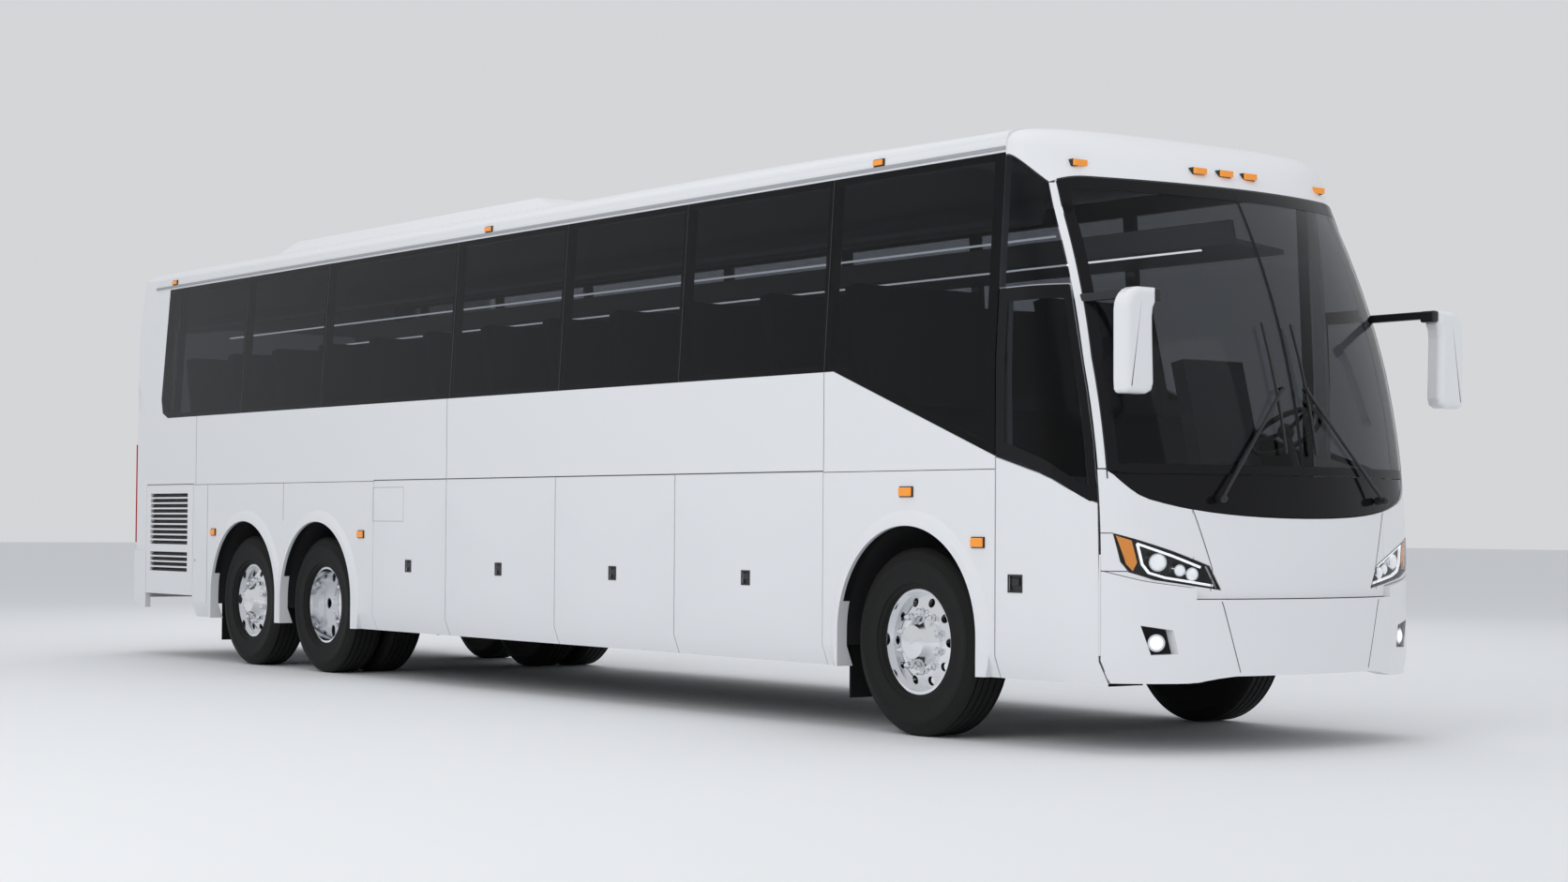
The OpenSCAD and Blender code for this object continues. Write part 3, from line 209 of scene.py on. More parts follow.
def material(name, colour, rough=0.4, metal=0.0, coat=0.0, through=0.0, grain=None, bump=0.0, interior_shade=False,
             glow=0.0, shine=0.5, ior=1.5):
    made = bpy.data.materials.get(name)
    if made:
        return made
    made = bpy.data.materials.new(name)
    made.use_nodes = True
    n, link = made.node_tree.nodes, made.node_tree.links
    shader = n["Principled BSDF"]
    shader.inputs["Base Color"].default_value = (*colour, 1.0)
    shader.inputs["Roughness"].default_value = rough
    shader.inputs["Specular IOR Level"].default_value = shine
    shader.inputs["IOR"].default_value = ior
    shader.inputs["Metallic"].default_value = metal
    shader.inputs["Coat Weight"].default_value = coat
    shader.inputs["Coat Roughness"].default_value = 0.04
    shader.inputs["Transmission Weight"].default_value = through
    if glow:
        shader.inputs["Emission Color"].default_value = (*colour, 1.0)
        shader.inputs["Emission Strength"].default_value = glow
    if grain:
        group = n.new("ShaderNodeGroup")
        group.node_tree = grain_group()
        for key, value in zip(("Scale", "Low", "High"), grain):
            group.inputs[key].default_value = value
        link.new(group.outputs["Roughness"], shader.inputs["Roughness"])
        if bump:
            hill = n.new("ShaderNodeBump")
            hill.inputs["Strength"].default_value = bump
            hill.inputs["Distance"].default_value = 0.001
            link.new(group.outputs["Height"], hill.inputs["Height"])
            link.new(hill.outputs["Normal"], shader.inputs["Normal"])
    # Painted shade: below the outer skin of the side walls the colour turns near black, standing in for the interior in
    # shade.
    if interior_shade:
        group = n.new("ShaderNodeGroup")
        group.node_tree = interior_shade_group()
        mix = n.new("ShaderNodeMix")
        mix.data_type = "RGBA"
        mix.inputs["A"].default_value = (*colour, 1.0)
        mix.inputs["B"].default_value = (0.012, 0.012, 0.013, 1.0)
        link.new(group.outputs["Mask"], mix.inputs["Factor"])
        link.new(mix.outputs["Result"], shader.inputs["Base Color"])
    return made


def white_paint():
    return material("White paint", colours().body, 0.3, coat=0.5, grain=(3.0, 0.27, 0.33))


def wall_paint():
    # White paint whose inside faces, behind the outer skin, are painted near black as painted shade of the interior.
    return material("Wall paint", colours().body, 0.3, coat=0.5, grain=(3.0, 0.27, 0.33), interior_shade=True)


def side_glass():
    return material("Tinted glass", colours().glass, 0.02, through=1.0, grain=(2.0, 0.015, 0.03), ior=1.2)


def screen_glass():
    return material("Windscreen glass", (0.42, 0.43, 0.44), 0.02, through=1.0, grain=(2.0, 0.01, 0.025), ior=1.22)


def clear_glass():
    return material("Clear lens", (0.95, 0.96, 0.97), 0.02, through=1.0, grain=(8.0, 0.01, 0.025), ior=1.3)


def black_trim():
    return material("Black trim", (0.014, 0.014, 0.015), 0.35, grain=(90.0, 0.3, 0.42), bump=0.05)


def gloss_black():
    return material("Gloss black", (0.008, 0.008, 0.009), 0.08, grain=(20.0, 0.07, 0.13), ior=1.25)


def tyre_rubber():
    return material("Tyre rubber", (0.010, 0.010, 0.010), 0.7, grain=(120.0, 0.62, 0.8), bump=0.15, shine=0.25)


def chassis_black():
    return material("Chassis black", (0.022, 0.022, 0.024), 0.6, grain=(30.0, 0.5, 0.7), bump=0.1)


def polished_alloy():
    return material("Polished alloy", (0.83, 0.84, 0.86), 0.12, metal=1.0, grain=(14.0, 0.09, 0.16))


def amber_lens():
    return material("Amber lens", colours().amber, 0.15, coat=0.4, grain=(160.0, 0.12, 0.22), bump=0.3, glow=0.15)


def red_lens():
    return material("Red lens", (0.55, 0.012, 0.012), 0.15, coat=0.4, grain=(120.0, 0.12, 0.22), bump=0.3)


def lamp_glow():
    return material("Lamp glow", (0.95, 0.97, 1.0), 0.1, grain=(60.0, 0.08, 0.16), bump=0.2, glow=0.35)


def seat_cloth():
    return material("Seat cloth", colours().seats, 0.85, grain=(300.0, 0.8, 0.95), bump=0.3)


def grey_trim():
    return material("Grey trim", (0.36, 0.37, 0.39), 0.5, grain=(60.0, 0.45, 0.55))


FINISHES = {
    "white_paint": white_paint,
    "white_plastic": white_paint,
    "chassis_black": chassis_black,
    "tinted_glass": side_glass,
    "black_plastic": black_trim,
    "tyre_rubber": tyre_rubber,
    "wheel_metal": polished_alloy,
    "flap_rubber": tyre_rubber,
    "floor_grey": grey_trim,
    "engine_iron": chassis_black,
    "seat_cloth": seat_cloth,
    "rack_grey": grey_trim,
    "lamp_clear": clear_glass,
    "lamp_red": red_lens,
    "lamp_amber": amber_lens,
}


# Shapes of the body, in metres
def side_y(z):
    """Half width of the side at a height."""
    if z < CREASE_Z:
        return HALF_W - 0.026 * (CREASE_Z - z) / (CREASE_Z - SKIRT_Z)
    return HALF_W - LEAN * max(0.0, z - SILL_Z) / (GLASS_TOP_Z - SILL_Z)


def face_x(z):
    """Foremost point of the front at a height."""
    return NOSE_X - SCREEN_R + math.sqrt(SCREEN_R**2 - max(0.0, z - UPRIGHT_Z) ** 2)


def front_point(u, z, deep=0.0):
    """Point on the front: u runs 0 to 1 over the front, 1 to 2 round the corner, then metres along the side."""
    w = side_y(z)
    s = math.asin((w - CORNER_R) / (NOSE_R - CORNER_R))
    x0 = face_x(z) - NOSE_R
    cr = x0 + (NOSE_R - CORNER_R) * math.cos(s)
    cx = max(cr, CAP_X + 0.005)
    squeeze = 1 - (cx - cr) / (CORNER_R * math.cos(s))
    a, g = abs(u), -1 if u < 0 else 1
    if a <= 1:
        return Vector((x0 + (NOSE_R - deep) * math.cos(a * s), g * (NOSE_R - deep) * math.sin(a * s), z))
    if a <= 2:
        f = s + (a - 1) * (math.pi / 2 - s)
        return Vector((cx + (CORNER_R - deep) * math.cos(f) * squeeze, g * (w - CORNER_R + (CORNER_R - deep) * math.sin(f)), z))
    return Vector((cx - (a - 2), g * (w - deep), z))


def front_u(y, z):
    """The value of u where the front's surface is at a distance y from the middle."""
    low, high = 0.0, 2.0
    for _ in range(30):
        mid = (low + high) / 2
        low, high = (mid, high) if front_point(mid, z)[1] < abs(y) else (low, mid)
    return math.copysign((low + high) / 2, y)


def proud(u):
    """How far the bumper stands proud of the nose."""
    k = min(1.0, max(0.0, (abs(u) - 0.6) / 0.75))
    return BUMPER_PROUD * (1 - k * k * (3 - 2 * k))


def cowl_z(u):
    return 1.25 + 0.06 * u**2 + 0.045 * u**4


def brow_low(u):
    """Upper edge of the windscreen."""
    u = abs(u)
    if u < 1:
        return SCREEN_TOP_Z + 0.01 * u**2
    return SCREEN_TOP_Z + 0.01 + (PILLAR_TOP_Z - SCREEN_TOP_Z - 0.01) * ((u - 1) / (BROW_U - 1)) ** 2


def side_u(x, z):
    """The value of u on the side at a place along the coach."""
    w = side_y(z)
    s = math.asin((w - CORNER_R) / (NOSE_R - CORNER_R))
    return 2 + max(face_x(z) - NOSE_R + (NOSE_R - CORNER_R) * math.cos(s), CAP_X + 0.005) - x


def slant_z(x):
    """Lower edge of the dark glass where it slants down to the door."""
    return SILL_Z - 0.36 * max(0.0, x - (BAY_X[0] + 0.09))


def wrap(bm, bumper=False):
    """Bends a mesh drawn flat as (y, z, depth) on to the front's surface."""
    for v in bm.verts:
        y, z, deep = v.co
        u = front_u(y, z)
        v.co = front_point(u, z, deep - (proud(u) if bumper else 0.0))
    bmesh.ops.recalc_face_normals(bm, faces=bm.faces)


# Pieces
def face_out(bm):
    """Turns the faces of each closed shell outward, by the sign of its volume."""
    left = set(bm.faces)
    while left:
        shell, todo = [], [left.pop()]
        while todo:
            face = todo.pop()
            shell.append(face)
            near = {f for e in face.edges for f in e.link_faces} & left
            left -= near
            todo.extend(near)
        base = shell[0].verts[0].co.copy()
        volume = 0.0
        for face in shell:
            a, *rest = [v.co - base for v in face.verts]
            volume += sum(a.dot(p.cross(q)) for p, q in zip(rest, rest[1:]))
        if volume < 0.0:
            bmesh.ops.reverse_faces(bm, faces=shell)


def piece(name, bm, finish, body="coach"):
    """A new object from a bmesh, riding on a body."""
    face_out(bm)
    mesh = bpy.data.meshes.new(name)
    bm.to_mesh(mesh)
    bm.free()
    obj = bpy.data.objects.new(name, mesh)
    bpy.context.scene.collection.objects.link(obj)
    for paint in finish if isinstance(finish, list) else [finish]:
        mesh.materials.append(paint)
    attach(obj, body)
    return obj


def add_box(bm, x, y, z, bevel=0.0):
    """A box between two places on each axis."""
    size = Matrix.Diagonal((x[1] - x[0], y[1] - y[0], z[1] - z[0], 1.0))
    middle = Matrix.Translation((sum(x) / 2, sum(y) / 2, sum(z) / 2))
    made = bmesh.ops.create_cube(bm, size=1.0, matrix=middle @ size)["verts"]
    if bevel:
        edges = list({e for v in made for e in v.link_edges})
        bmesh.ops.bevel(bm, geom=edges, offset=bevel, segments=3, profile=0.5, affect="EDGES", material=-1)
    return made


def spin_profile(bm, points, centre, steps, axis=(0, 1, 0)):
    """A closed ring from a profile of (radius, along) pairs about an axis along Y through centre."""
    verts = [bm.verts.new((centre[0] + r, centre[1] + a, centre[2])) for r, a in points]
    edges = [bm.edges.new((verts[i], verts[(i + 1) % len(verts)])) for i in range(len(verts))]
    bmesh.ops.spin(bm, geom=verts + edges, cent=centre, axis=axis, angle=math.tau, steps=steps, use_merge=True)
    bmesh.ops.remove_doubles(bm, verts=bm.verts, dist=1e-5)
    bmesh.ops.recalc_face_normals(bm, faces=bm.faces)


def mirrored(bm):
    """The mesh mirrored to the coach's right side, faces outward."""
    bmesh.ops.scale(bm, vec=(1, -1, 1), verts=bm.verts)
    bmesh.ops.reverse_faces(bm, faces=bm.faces)
    return bm


SIDES = (("right", -1), ("left", 1))


class COACH_OT_finishes(bpy.types.Operator):
    """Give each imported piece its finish"""

    bl_idname = "coach.finishes"
    bl_label = "Finishes"

    def execute(self, context):
        slots = {s["node"]: s["material_slot"] for s in FRAME["record"]["subparts"]}
        for name, obj in NODES.items():
            finish = FINISHES[slots[name]]()
            if name.startswith("side_wall"):
                finish = wall_paint()
            if name == "windshield":
                finish = screen_glass()
            if name == "wiper_cowl":
                finish = gloss_black()
            obj.data.materials.clear()
            obj.data.materials.append(finish)
            obj.data.polygons.foreach_set("use_smooth", [True] * len(obj.data.polygons))
            weld = obj.modifiers.new("weld", "WELD")
            weld.merge_threshold = 0.00002
            split = obj.modifiers.new("edges", "EDGE_SPLIT")
            split.split_angle = math.radians(26)
        return {"FINISHED"}


class COACH_OT_tyres(bpy.types.Operator):
    """Make the tyres with ribbed treads"""

    bl_idname = "coach.tyres"
    bl_label = "Tyres"

    def tyre(self, bm, centre, half, rim_r):
        depth = sizes().tread
        r = TYRE_R
        side = [(rim_r, half - 0.04), (rim_r + 0.012, half - 0.018), (rim_r + 0.03, half - 0.012),
                (rim_r + 0.034, half - 0.004), (r - 0.15, half), (r - 0.1, half - 0.001),
                (r - 0.096, half + 0.001), (r - 0.07, half - 0.002), (r - 0.066, half - 0.006),
                (r - 0.03, half - 0.014), (r - 0.012, half - 0.03)]
        crown = []
        ribs = (0.095, 0.045, 0.0, -0.045, -0.095)
        crown.append((r, half - 0.045))
        for y in ribs:
            crown += [(r, y + 0.006), (r - depth, y + 0.003), (r - depth, y - 0.003), (r, y - 0.006)]
        crown.append((r, -half + 0.045))
        profile = side + crown + [(a, -b) for a, b in reversed(side)]
        spin_profile(bm, profile, centre, 96)

    def execute(self, context):
        for side, g in SIDES:
            for axle, x in (("front", FRONT_X), ("drive", DRIVE_X), ("tag", TAG_X)):
                node = "tyre_%s_%s" % (axle, side)
                low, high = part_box(node)
                inner, outer = sorted((abs(low[1]), abs(high[1])))
                bm = bmesh.new()
                half = 0.15
                self.tyre(bm, (x, outer - half, HUB_Z), half, 0.3)
                if axle == "drive":
                    self.tyre(bm, (x, inner + half, HUB_Z), half, 0.3)
                if g < 0:
                    mirrored(bm)
                obj = piece("tread_%s_%s" % (axle, side), bm, tyre_rubber(), "wheel_%s_%s" % (axle, side))
                for face in obj.data.polygons:
                    face.use_smooth = True
                obj.data.set_sharp_from_angle(angle=math.radians(35))
                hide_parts(node)
        return {"FINISHED"}


def band(bm, place, n, m, deep, thick):
    """A closed strip of the front's surface; place gives u and height at the shares across and up."""
    front, back = ([[bm.verts.new(front_point(*place(i / n, j / m), d)) for j in range(m + 1)] for i in range(n + 1)]
                   for d in (deep, deep + thick))
    for i in range(n):
        for j in range(m):
            bm.faces.new((front[i][j], front[i + 1][j], front[i + 1][j + 1], front[i][j + 1]))
            bm.faces.new((back[i][j], back[i][j + 1], back[i + 1][j + 1], back[i + 1][j]))
    rim = [(i, 0) for i in range(n)] + [(n, j) for j in range(m)]
    rim += [(i, m) for i in range(n, 0, -1)] + [(0, j) for j in range(m, 0, -1)]
    for (i, j), (k, q) in zip(rim, rim[1:] + rim[:1]):
        bm.faces.new((front[k][q], front[i][j], back[i][j], back[k][q]))


def front_band(bm, u_edges, z_edges, n, m, deep, thick):
    """A curved strip of the front between two edges in u and two in height."""
    def place(k, j):
        u = u_edges[0] + (u_edges[1] - u_edges[0]) * k
        low, high = z_edges(u)
        return u, low + (high - low) * j
    band(bm, place, n, m, deep, thick)


def side_band(bm, u_low, u_high, z_low, z_high, n, m, deep, thick):
    """The same, with edges in u that are functions of height, and edges in height of the share across."""
    def place(k, j):
        z = z_low(k) + (z_high(k) - z_low(k)) * j
        return u_low(z) + (u_high(z) - u_low(z)) * k, z
    band(bm, place, n, m, deep, thick)


class COACH_OT_screen_trim(bpy.types.Operator):
    """Make the black border and the gaskets of the windscreen"""

    bl_idname = "coach.screen_trim"
    bl_label = "Windscreen trim"

    def execute(self, context):
        bm = bmesh.new()
        out = -0.0008
        for g in (-1, 1):
            edge = PILLAR_U - 0.009
            wide = 0.11
            front_band(bm, (g * (edge - wide), g * edge), lambda u: (SCREEN_LOW_Z + 0.01, brow_low(u) - 0.006),
                       3, 40, out, 0.0006)
            front_band(bm, (g * 0.004, g * (edge - wide)), lambda u: (brow_low(u) - 0.075, brow_low(u) - 0.006),
                       24, 3, out, 0.0006)
            front_band(bm, (g * 0.004, g * (edge - wide)),
                       lambda u: (max(SCREEN_LOW_Z, cowl_z(u) + 0.015), max(SCREEN_LOW_Z, cowl_z(u) + 0.015) + 0.05),
                       24, 2, out, 0.0006)
            front_band(bm, (g * 0.0035, g * 0.012), lambda u: (SCREEN_LOW_Z + 0.05, brow_low(u) - 0.075),
                       1, 30, out, 0.0006)
        front_band(bm, (-0.0036, 0.0036), lambda u: (SCREEN_LOW_Z, brow_low(u) - 0.006), 1, 40, 0.0, 0.006)
        bmesh.ops.recalc_face_normals(bm, faces=bm.faces)
        piece("screen_border", bm, gloss_black())
        return {"FINISHED"}


def front_strip(bm, points, width, lift, bumper=False):
    """A thin strip along a line of (y, z) points on the front, on both sides of the middle."""
    for (y0, z0), (y1, z1) in zip(points, points[1:]):
        a, b = Vector((y0, z0, 0.0)), Vector((y1, z1, 0.0))
        count = max(2, int((b - a).length / 0.04))
        across = (b - a).normalized().cross(Vector((0.0, 0.0, 1.0))) * width / 2
        strip = bmesh.new()
        rows = []
        for i in range(count + 1):
            c = a.lerp(b, i / count)
            rows.append([strip.verts.new((c + across * j) + Vector((0, 0, -lift))) for j in (-1, 1)])
        for r, q in zip(rows, rows[1:]):
            strip.faces.new((r[0], r[1], q[1], q[0]))
        wrap(strip, bumper)
        bmesh.ops.solidify(strip, geom=strip.faces[:], thickness=0.0005)
        mesh = bpy.data.meshes.new("strip")
        strip.to_mesh(mesh)
        strip.free()
        bm.from_mesh(mesh)
        bpy.data.meshes.remove(mesh)


class COACH_OT_front_seams(bpy.types.Operator):
    """Make the seams of the nose and the bumper, a dark strip of painted shade in the gap above the bumper, and the
    gasket round the windscreen
    """

    bl_idname = "coach.front_seams"
    bl_label = "Front seams"

    def execute(self, context):
        bm, cover = bmesh.new(), bmesh.new()
        w = sizes().seam
        for g in (-1, 1):
            front_strip(bm, [(g * 0.748, 1.292), (g * 0.72, 1.21), (g * 0.641, 0.974), (g * 0.652, 0.86)], w, 0.0006)
            front_strip(bm, [(g * 0.607, 0.805), (g * 0.596, 0.775), (g * 0.52, 0.515), (g * 0.495, 0.43)], w, 0.0006, True)
            # Painted shade: a dark strip set just behind the bumper's face, in the gap above the bumper, stands in for
            # the gap's shadow line.
            front_strip(bm, [(g * 0.588, 0.815), (g * 0.3, 0.815), (0.0, 0.815)], w * 1.2, -0.004, True)
            for z, y in ((1.163, 1.153), (0.963, 1.089)):
                front_band(bm, (front_u(g * y, z), g * (DOOR_U - 0.002)), lambda u: (z - w / 2, z + w / 2), 12, 1,
                           -0.0006, 0.0005)
            front_band(bm, (g * (PILLAR_U - 0.0085), g * (PILLAR_U + 0.004)),
                       lambda u: (SCREEN_LOW_Z - 0.03, brow_low(u) - 0.01), 1, 40, -0.001, 0.0006)
            front_band(bm, (g * (DOOR_U - 0.006), g * (DOOR_U - 0.0015)), lambda u: (0.42, 1.42), 1, 24, -0.0006, 0.0005)
            for z in ((1.04, 1.27), (0.823, 0.88)):
                front_band(cover, (g * 0.7245, g * 0.7355), lambda u: z, 1, 8, -0.0002, 0.0002)
        front_band(bm, (-PILLAR_U + 0.01, PILLAR_U - 0.01), lambda u: (brow_low(u) - 0.007, brow_low(u) + 0.003), 40, 1,
                   -0.001, 0.0006)
        bmesh.ops.recalc_face_normals(bm, faces=bm.faces)
        piece("front_seams", bm, black_trim())
        bmesh.ops.recalc_face_normals(cover, faces=cover.faces)
        piece("nose_cover_strips", cover, white_paint())
        return {"FINISHED"}


class COACH_OT_side_details(bpy.types.Operator):
    """Make the flaps' outlines, the small locks and the racks' light strips"""

    bl_idname = "coach.side_details"
    bl_label = "Side details"

    def execute(self, context):
        w = sizes().seam
        x0, x1, z0, z1 = DRIVE_X + 0.93, DRIVE_X + 1.42, 1.2, 1.46
        y = (HALF_W - 0.001, HALF_W + 0.0005)
        locks = bmesh.new()
        for side, g in SIDES:
            bm = bmesh.new()
            for x, z in (((x0, x0 + w), (z0, z1)), ((x1 - w, x1), (z0, z1)), ((x0 + w, x1 - w), (z1 - w, z1)),
                         ((x0 + w, x1 - w), (z0, z0 + w))):
                add_box(bm, x, y, z)
            if g < 0:
                mirrored(bm)
            piece("fuel_flap_" + side, bm, grey_trim(), "bay_door_%s_4" % side)
            add_box(locks, (GRILLE_HIGH[0] + 0.04, GRILLE_HIGH[0] + 0.06), sorted((g * y[0], g * (y[1] + 0.0005))),
                    (0.845, 0.865), 0.0005)
        piece("side_locks", locks, grey_trim())
        low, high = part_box("luggage_racks")
        strips = bmesh.new()
        for g in (-1, 1):
            y = high[1] - 0.62
            add_box(strips, (low[0] + 0.1, high[0] - 0.1), sorted((g * y, g * (y + 0.02))), (low[2] - 0.012, low[2] - 0.002), 0.002)
        bmesh.ops.recalc_face_normals(strips, faces=strips.faces)
        piece("rack_lights", strips, material("Rack light", (0.9, 0.92, 0.95), 0.4, grain=(40.0, 0.35, 0.45), glow=1.6))
        return {"FINISHED"}


LAMP_OUTLINE = ((1.153, 1.163), (0.869, 1.072), (0.658, 0.993), (0.588, 0.864), (0.968, 0.919),
                (1.089, 0.958), (1.125, 1.012))


def flat_polygon(bm, points, deep):
    """A flat face from (y, z) points at a depth."""
    verts = [bm.verts.new((y, z, deep)) for y, z in points]
    return bm.faces.new(verts)


def shrunk(points, d):
    """The outline moved inwards by a distance along each corner's bisector."""
    moved = []
    count = len(points)
    for i, p in enumerate(points):
        a, b, c = Vector(points[i - 1]), Vector(p), Vector(points[(i + 1) % count])
        e, f = (b - a).normalized(), (c - b).normalized()
        n = Vector((-e.y - f.y, e.x + f.x))
        n.normalize()
        k = d / max(0.4, n.dot(Vector((-e.y, e.x))))
        moved.append((b.x + n.x * k, b.y + n.y * k))
    return moved


def ring_on_front(bm, centre, r, deep, height, segments=32, tube=0.0):
    """A short cylinder on the front at (y, z), standing out of a depth."""
    y, z = centre
    made = bmesh.ops.create_cone(bm, cap_ends=True, segments=segments, radius1=r, radius2=r - tube, depth=height)
    bmesh.ops.translate(bm, verts=made["verts"], vec=(y, z, deep - height / 2))
    return made["verts"]


class COACH_OT_headlamps(bpy.types.Operator):
    """Make the headlamps: bowl, projectors, light strip, indicator and lens"""

    bl_idname = "coach.headlamps"
    bl_label = "Headlamps"

    def bowl(self, g):
        bm = bmesh.new()
        rings = []
        for d, deep in ((0.002, 0.003), (0.002, 0.03), (0.008, 0.075)):
            pts = shrunk(LAMP_OUTLINE, d)
            rings.append([bm.verts.new((y, z, deep)) for y, z in pts])
        for a, b in zip(rings, rings[1:]):
            for i in range(len(a)):
                j = (i + 1) % len(a)
                bm.faces.new((a[i], a[j], b[j], b[i]))
        bm.faces.new(rings[-1])
        bmesh.ops.triangulate(bm, faces=[f for f in bm.faces if len(f.verts) > 4])
        bmesh.ops.subdivide_edges(bm, edges=bm.edges, cuts=2, use_grid_fill=True)
        bmesh.ops.solidify(bm, geom=bm.faces[:], thickness=0.003)
        wrap(bm)
        return bm

    def lens(self):
        bm = bmesh.new()
        face = flat_polygon(bm, shrunk(LAMP_OUTLINE, 0.002), 0.0)
        bmesh.ops.triangulate(bm, faces=[face])
        bmesh.ops.subdivide_edges(bm, edges=bm.edges, cuts=5, use_grid_fill=True)
        bmesh.ops.solidify(bm, geom=bm.faces[:], thickness=0.003)
        wrap(bm)
        return bm

    def strip(self):
        bm = bmesh.new()
        path = [(0.70, 0.985), (0.86, 1.045), (1.045, 1.108), (1.02, 1.0), (0.985, 0.955), (0.90, 0.93), (0.63, 0.888)]
        for a, b in zip(path, path[1:]):
            a, b = Vector(a), Vector(b)
            side = Vector((-(b - a).y, (b - a).x)).normalized() * 0.006
            steps = 6
            for i in range(steps):
                p, q = a.lerp(b, i / steps), a.lerp(b, (i + 1.03) / steps)
                corners = [p + side, q + side, q - side, p - side]
                low = [bm.verts.new((c.x, c.y, 0.03)) for c in corners]
                high = [bm.verts.new((c.x, c.y, 0.018)) for c in corners]
                bm.faces.new(low)
                bm.faces.new(high[::-1])
                for k in range(4):
                    m = (k + 1) % 4
                    bm.faces.new((low[k], high[k], high[m], low[m]))
        wrap(bm)
        return bm

    def projectors(self):
        bm = bmesh.new()
        for y, z, r in ((0.935, 1.01, 0.048), (0.815, 0.968, 0.032), (0.745, 0.948, 0.036)):
            ring_on_front(bm, (y, z), r, 0.072, 0.045, tube=-0.012)
        wrap(bm)
        return bm

    def bulbs(self):
        bm = bmesh.new()
        for y, z, r in ((0.935, 1.01, 0.04), (0.815, 0.968, 0.025), (0.745, 0.948, 0.029)):
            made = bmesh.ops.create_uvsphere(bm, u_segments=24, v_segments=12, radius=r)["verts"]
            bmesh.ops.scale(bm, vec=(1, 1, 0.45), verts=made)
            bmesh.ops.translate(bm, vec=(y, z, 0.026), verts=made)
        wrap(bm)
        return bm

    def indicator(self):
        bm = bmesh.new()
        face = flat_polygon(bm, [(1.142, 1.15), (1.075, 1.125), (1.05, 1.01), (1.07, 0.965), (1.10, 1.0)], 0.02)
        bmesh.ops.triangulate(bm, faces=[face])
        bmesh.ops.subdivide_edges(bm, edges=bm.edges, cuts=3, use_grid_fill=True)
        bmesh.ops.solidify(bm, geom=bm.faces[:], thickness=0.012)
        wrap(bm)
        return bm

    def execute(self, context):
        parts = (("bowl", lambda: self.bowl(1), gloss_black(), "black_plastic"),
                 ("projectors", self.projectors, polished_alloy(), "wheel_metal"),
                 ("bulbs", self.bulbs, lamp_glow(), "lamp_clear"),
                 ("strip", self.strip, material("Light strip", (0.95, 0.97, 1.0), 0.3, grain=(60.0, 0.25, 0.35), glow=0.6), "lamp_clear"),
                 ("indicator", self.indicator, amber_lens(), "lamp_amber"),
                 ("lens", self.lens, clear_glass(), "lamp_clear"))
        for side, g in SIDES:
            for name, make, finish, slot in parts:
                bm = make()
                if g < 0:
                    mirrored(bm)
                obj = piece("headlamp_%s_%s" % (name, side), bm, finish)
                if name == "lens":
                    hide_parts("front_lamps")
        return {"FINISHED"}


class COACH_OT_fog_lamps(bpy.types.Operator):
    """Make the fog lamps in the bumper's corners"""

    bl_idname = "coach.fog_lamps"
    bl_label = "Fog lamps"

    def execute(self, context):
        for side, g in SIDES:
            bm = bmesh.new()
            face = flat_polygon(bm, shrunk([(1.045, 0.68), (0.885, 0.655), (0.855, 0.53), (0.995, 0.525)], 0.001), 0.0242)
            bmesh.ops.triangulate(bm, faces=[face])
            bmesh.ops.subdivide_edges(bm, edges=bm.edges, cuts=5, use_grid_fill=True)
            wrap(bm)
            bmesh.ops.solidify(bm, geom=bm.faces[:], thickness=0.0006)
            lamp = bmesh.new()
            ring_on_front(lamp, (0.955, 0.588), 0.046, 0.0238, 0.03, tube=0.006)
            wrap(lamp)
            glass = bmesh.new()
            made = bmesh.ops.create_uvsphere(glass, u_segments=24, v_segments=12, radius=0.036)["verts"]
            bmesh.ops.scale(glass, vec=(1, 1, 0.3), verts=made)
            bmesh.ops.translate(glass, vec=(0.955, 0.588, -0.006), verts=made)
            wrap(glass)
            for name, mesh, finish in (("bezel", bm, gloss_black()), ("ring", lamp, polished_alloy()),
                                       ("glass", glass, lamp_glow())):
                if g < 0:
                    mirrored(mesh)
                piece("fog_lamp_%s_%s" % (name, side), mesh, finish)
        return {"FINISHED"}


def latch_mesh(x, z, w=0.0415, h=0.0415):
    """A latch in its recess, on the left side."""
    bm = bmesh.new()
    add_box(bm, (x - w, x + w), (HALF_W - 0.0138, HALF_W - 0.011), (z - h, z + h))
    frame = ((-w - 0.0045, w + 0.0045, h - 0.005, h + 0.0045), (-w - 0.0045, w + 0.0045, -h - 0.0045, -h + 0.005),
             (-w - 0.0045, -w + 0.005, -h + 0.005, h - 0.005), (w - 0.005, w + 0.0045, -h + 0.005, h - 0.005))
    for a, b, c, d in frame:
        add_box(bm, (x + a, x + b), (HALF_W + 0.0003, HALF_W + 0.003), (z + c, z + d))
    add_box(bm, (x - 0.03, x + 0.03), (HALF_W - 0.01, HALF_W - 0.001), (z - 0.012, z + 0.03), bevel=0.004)
    return bm


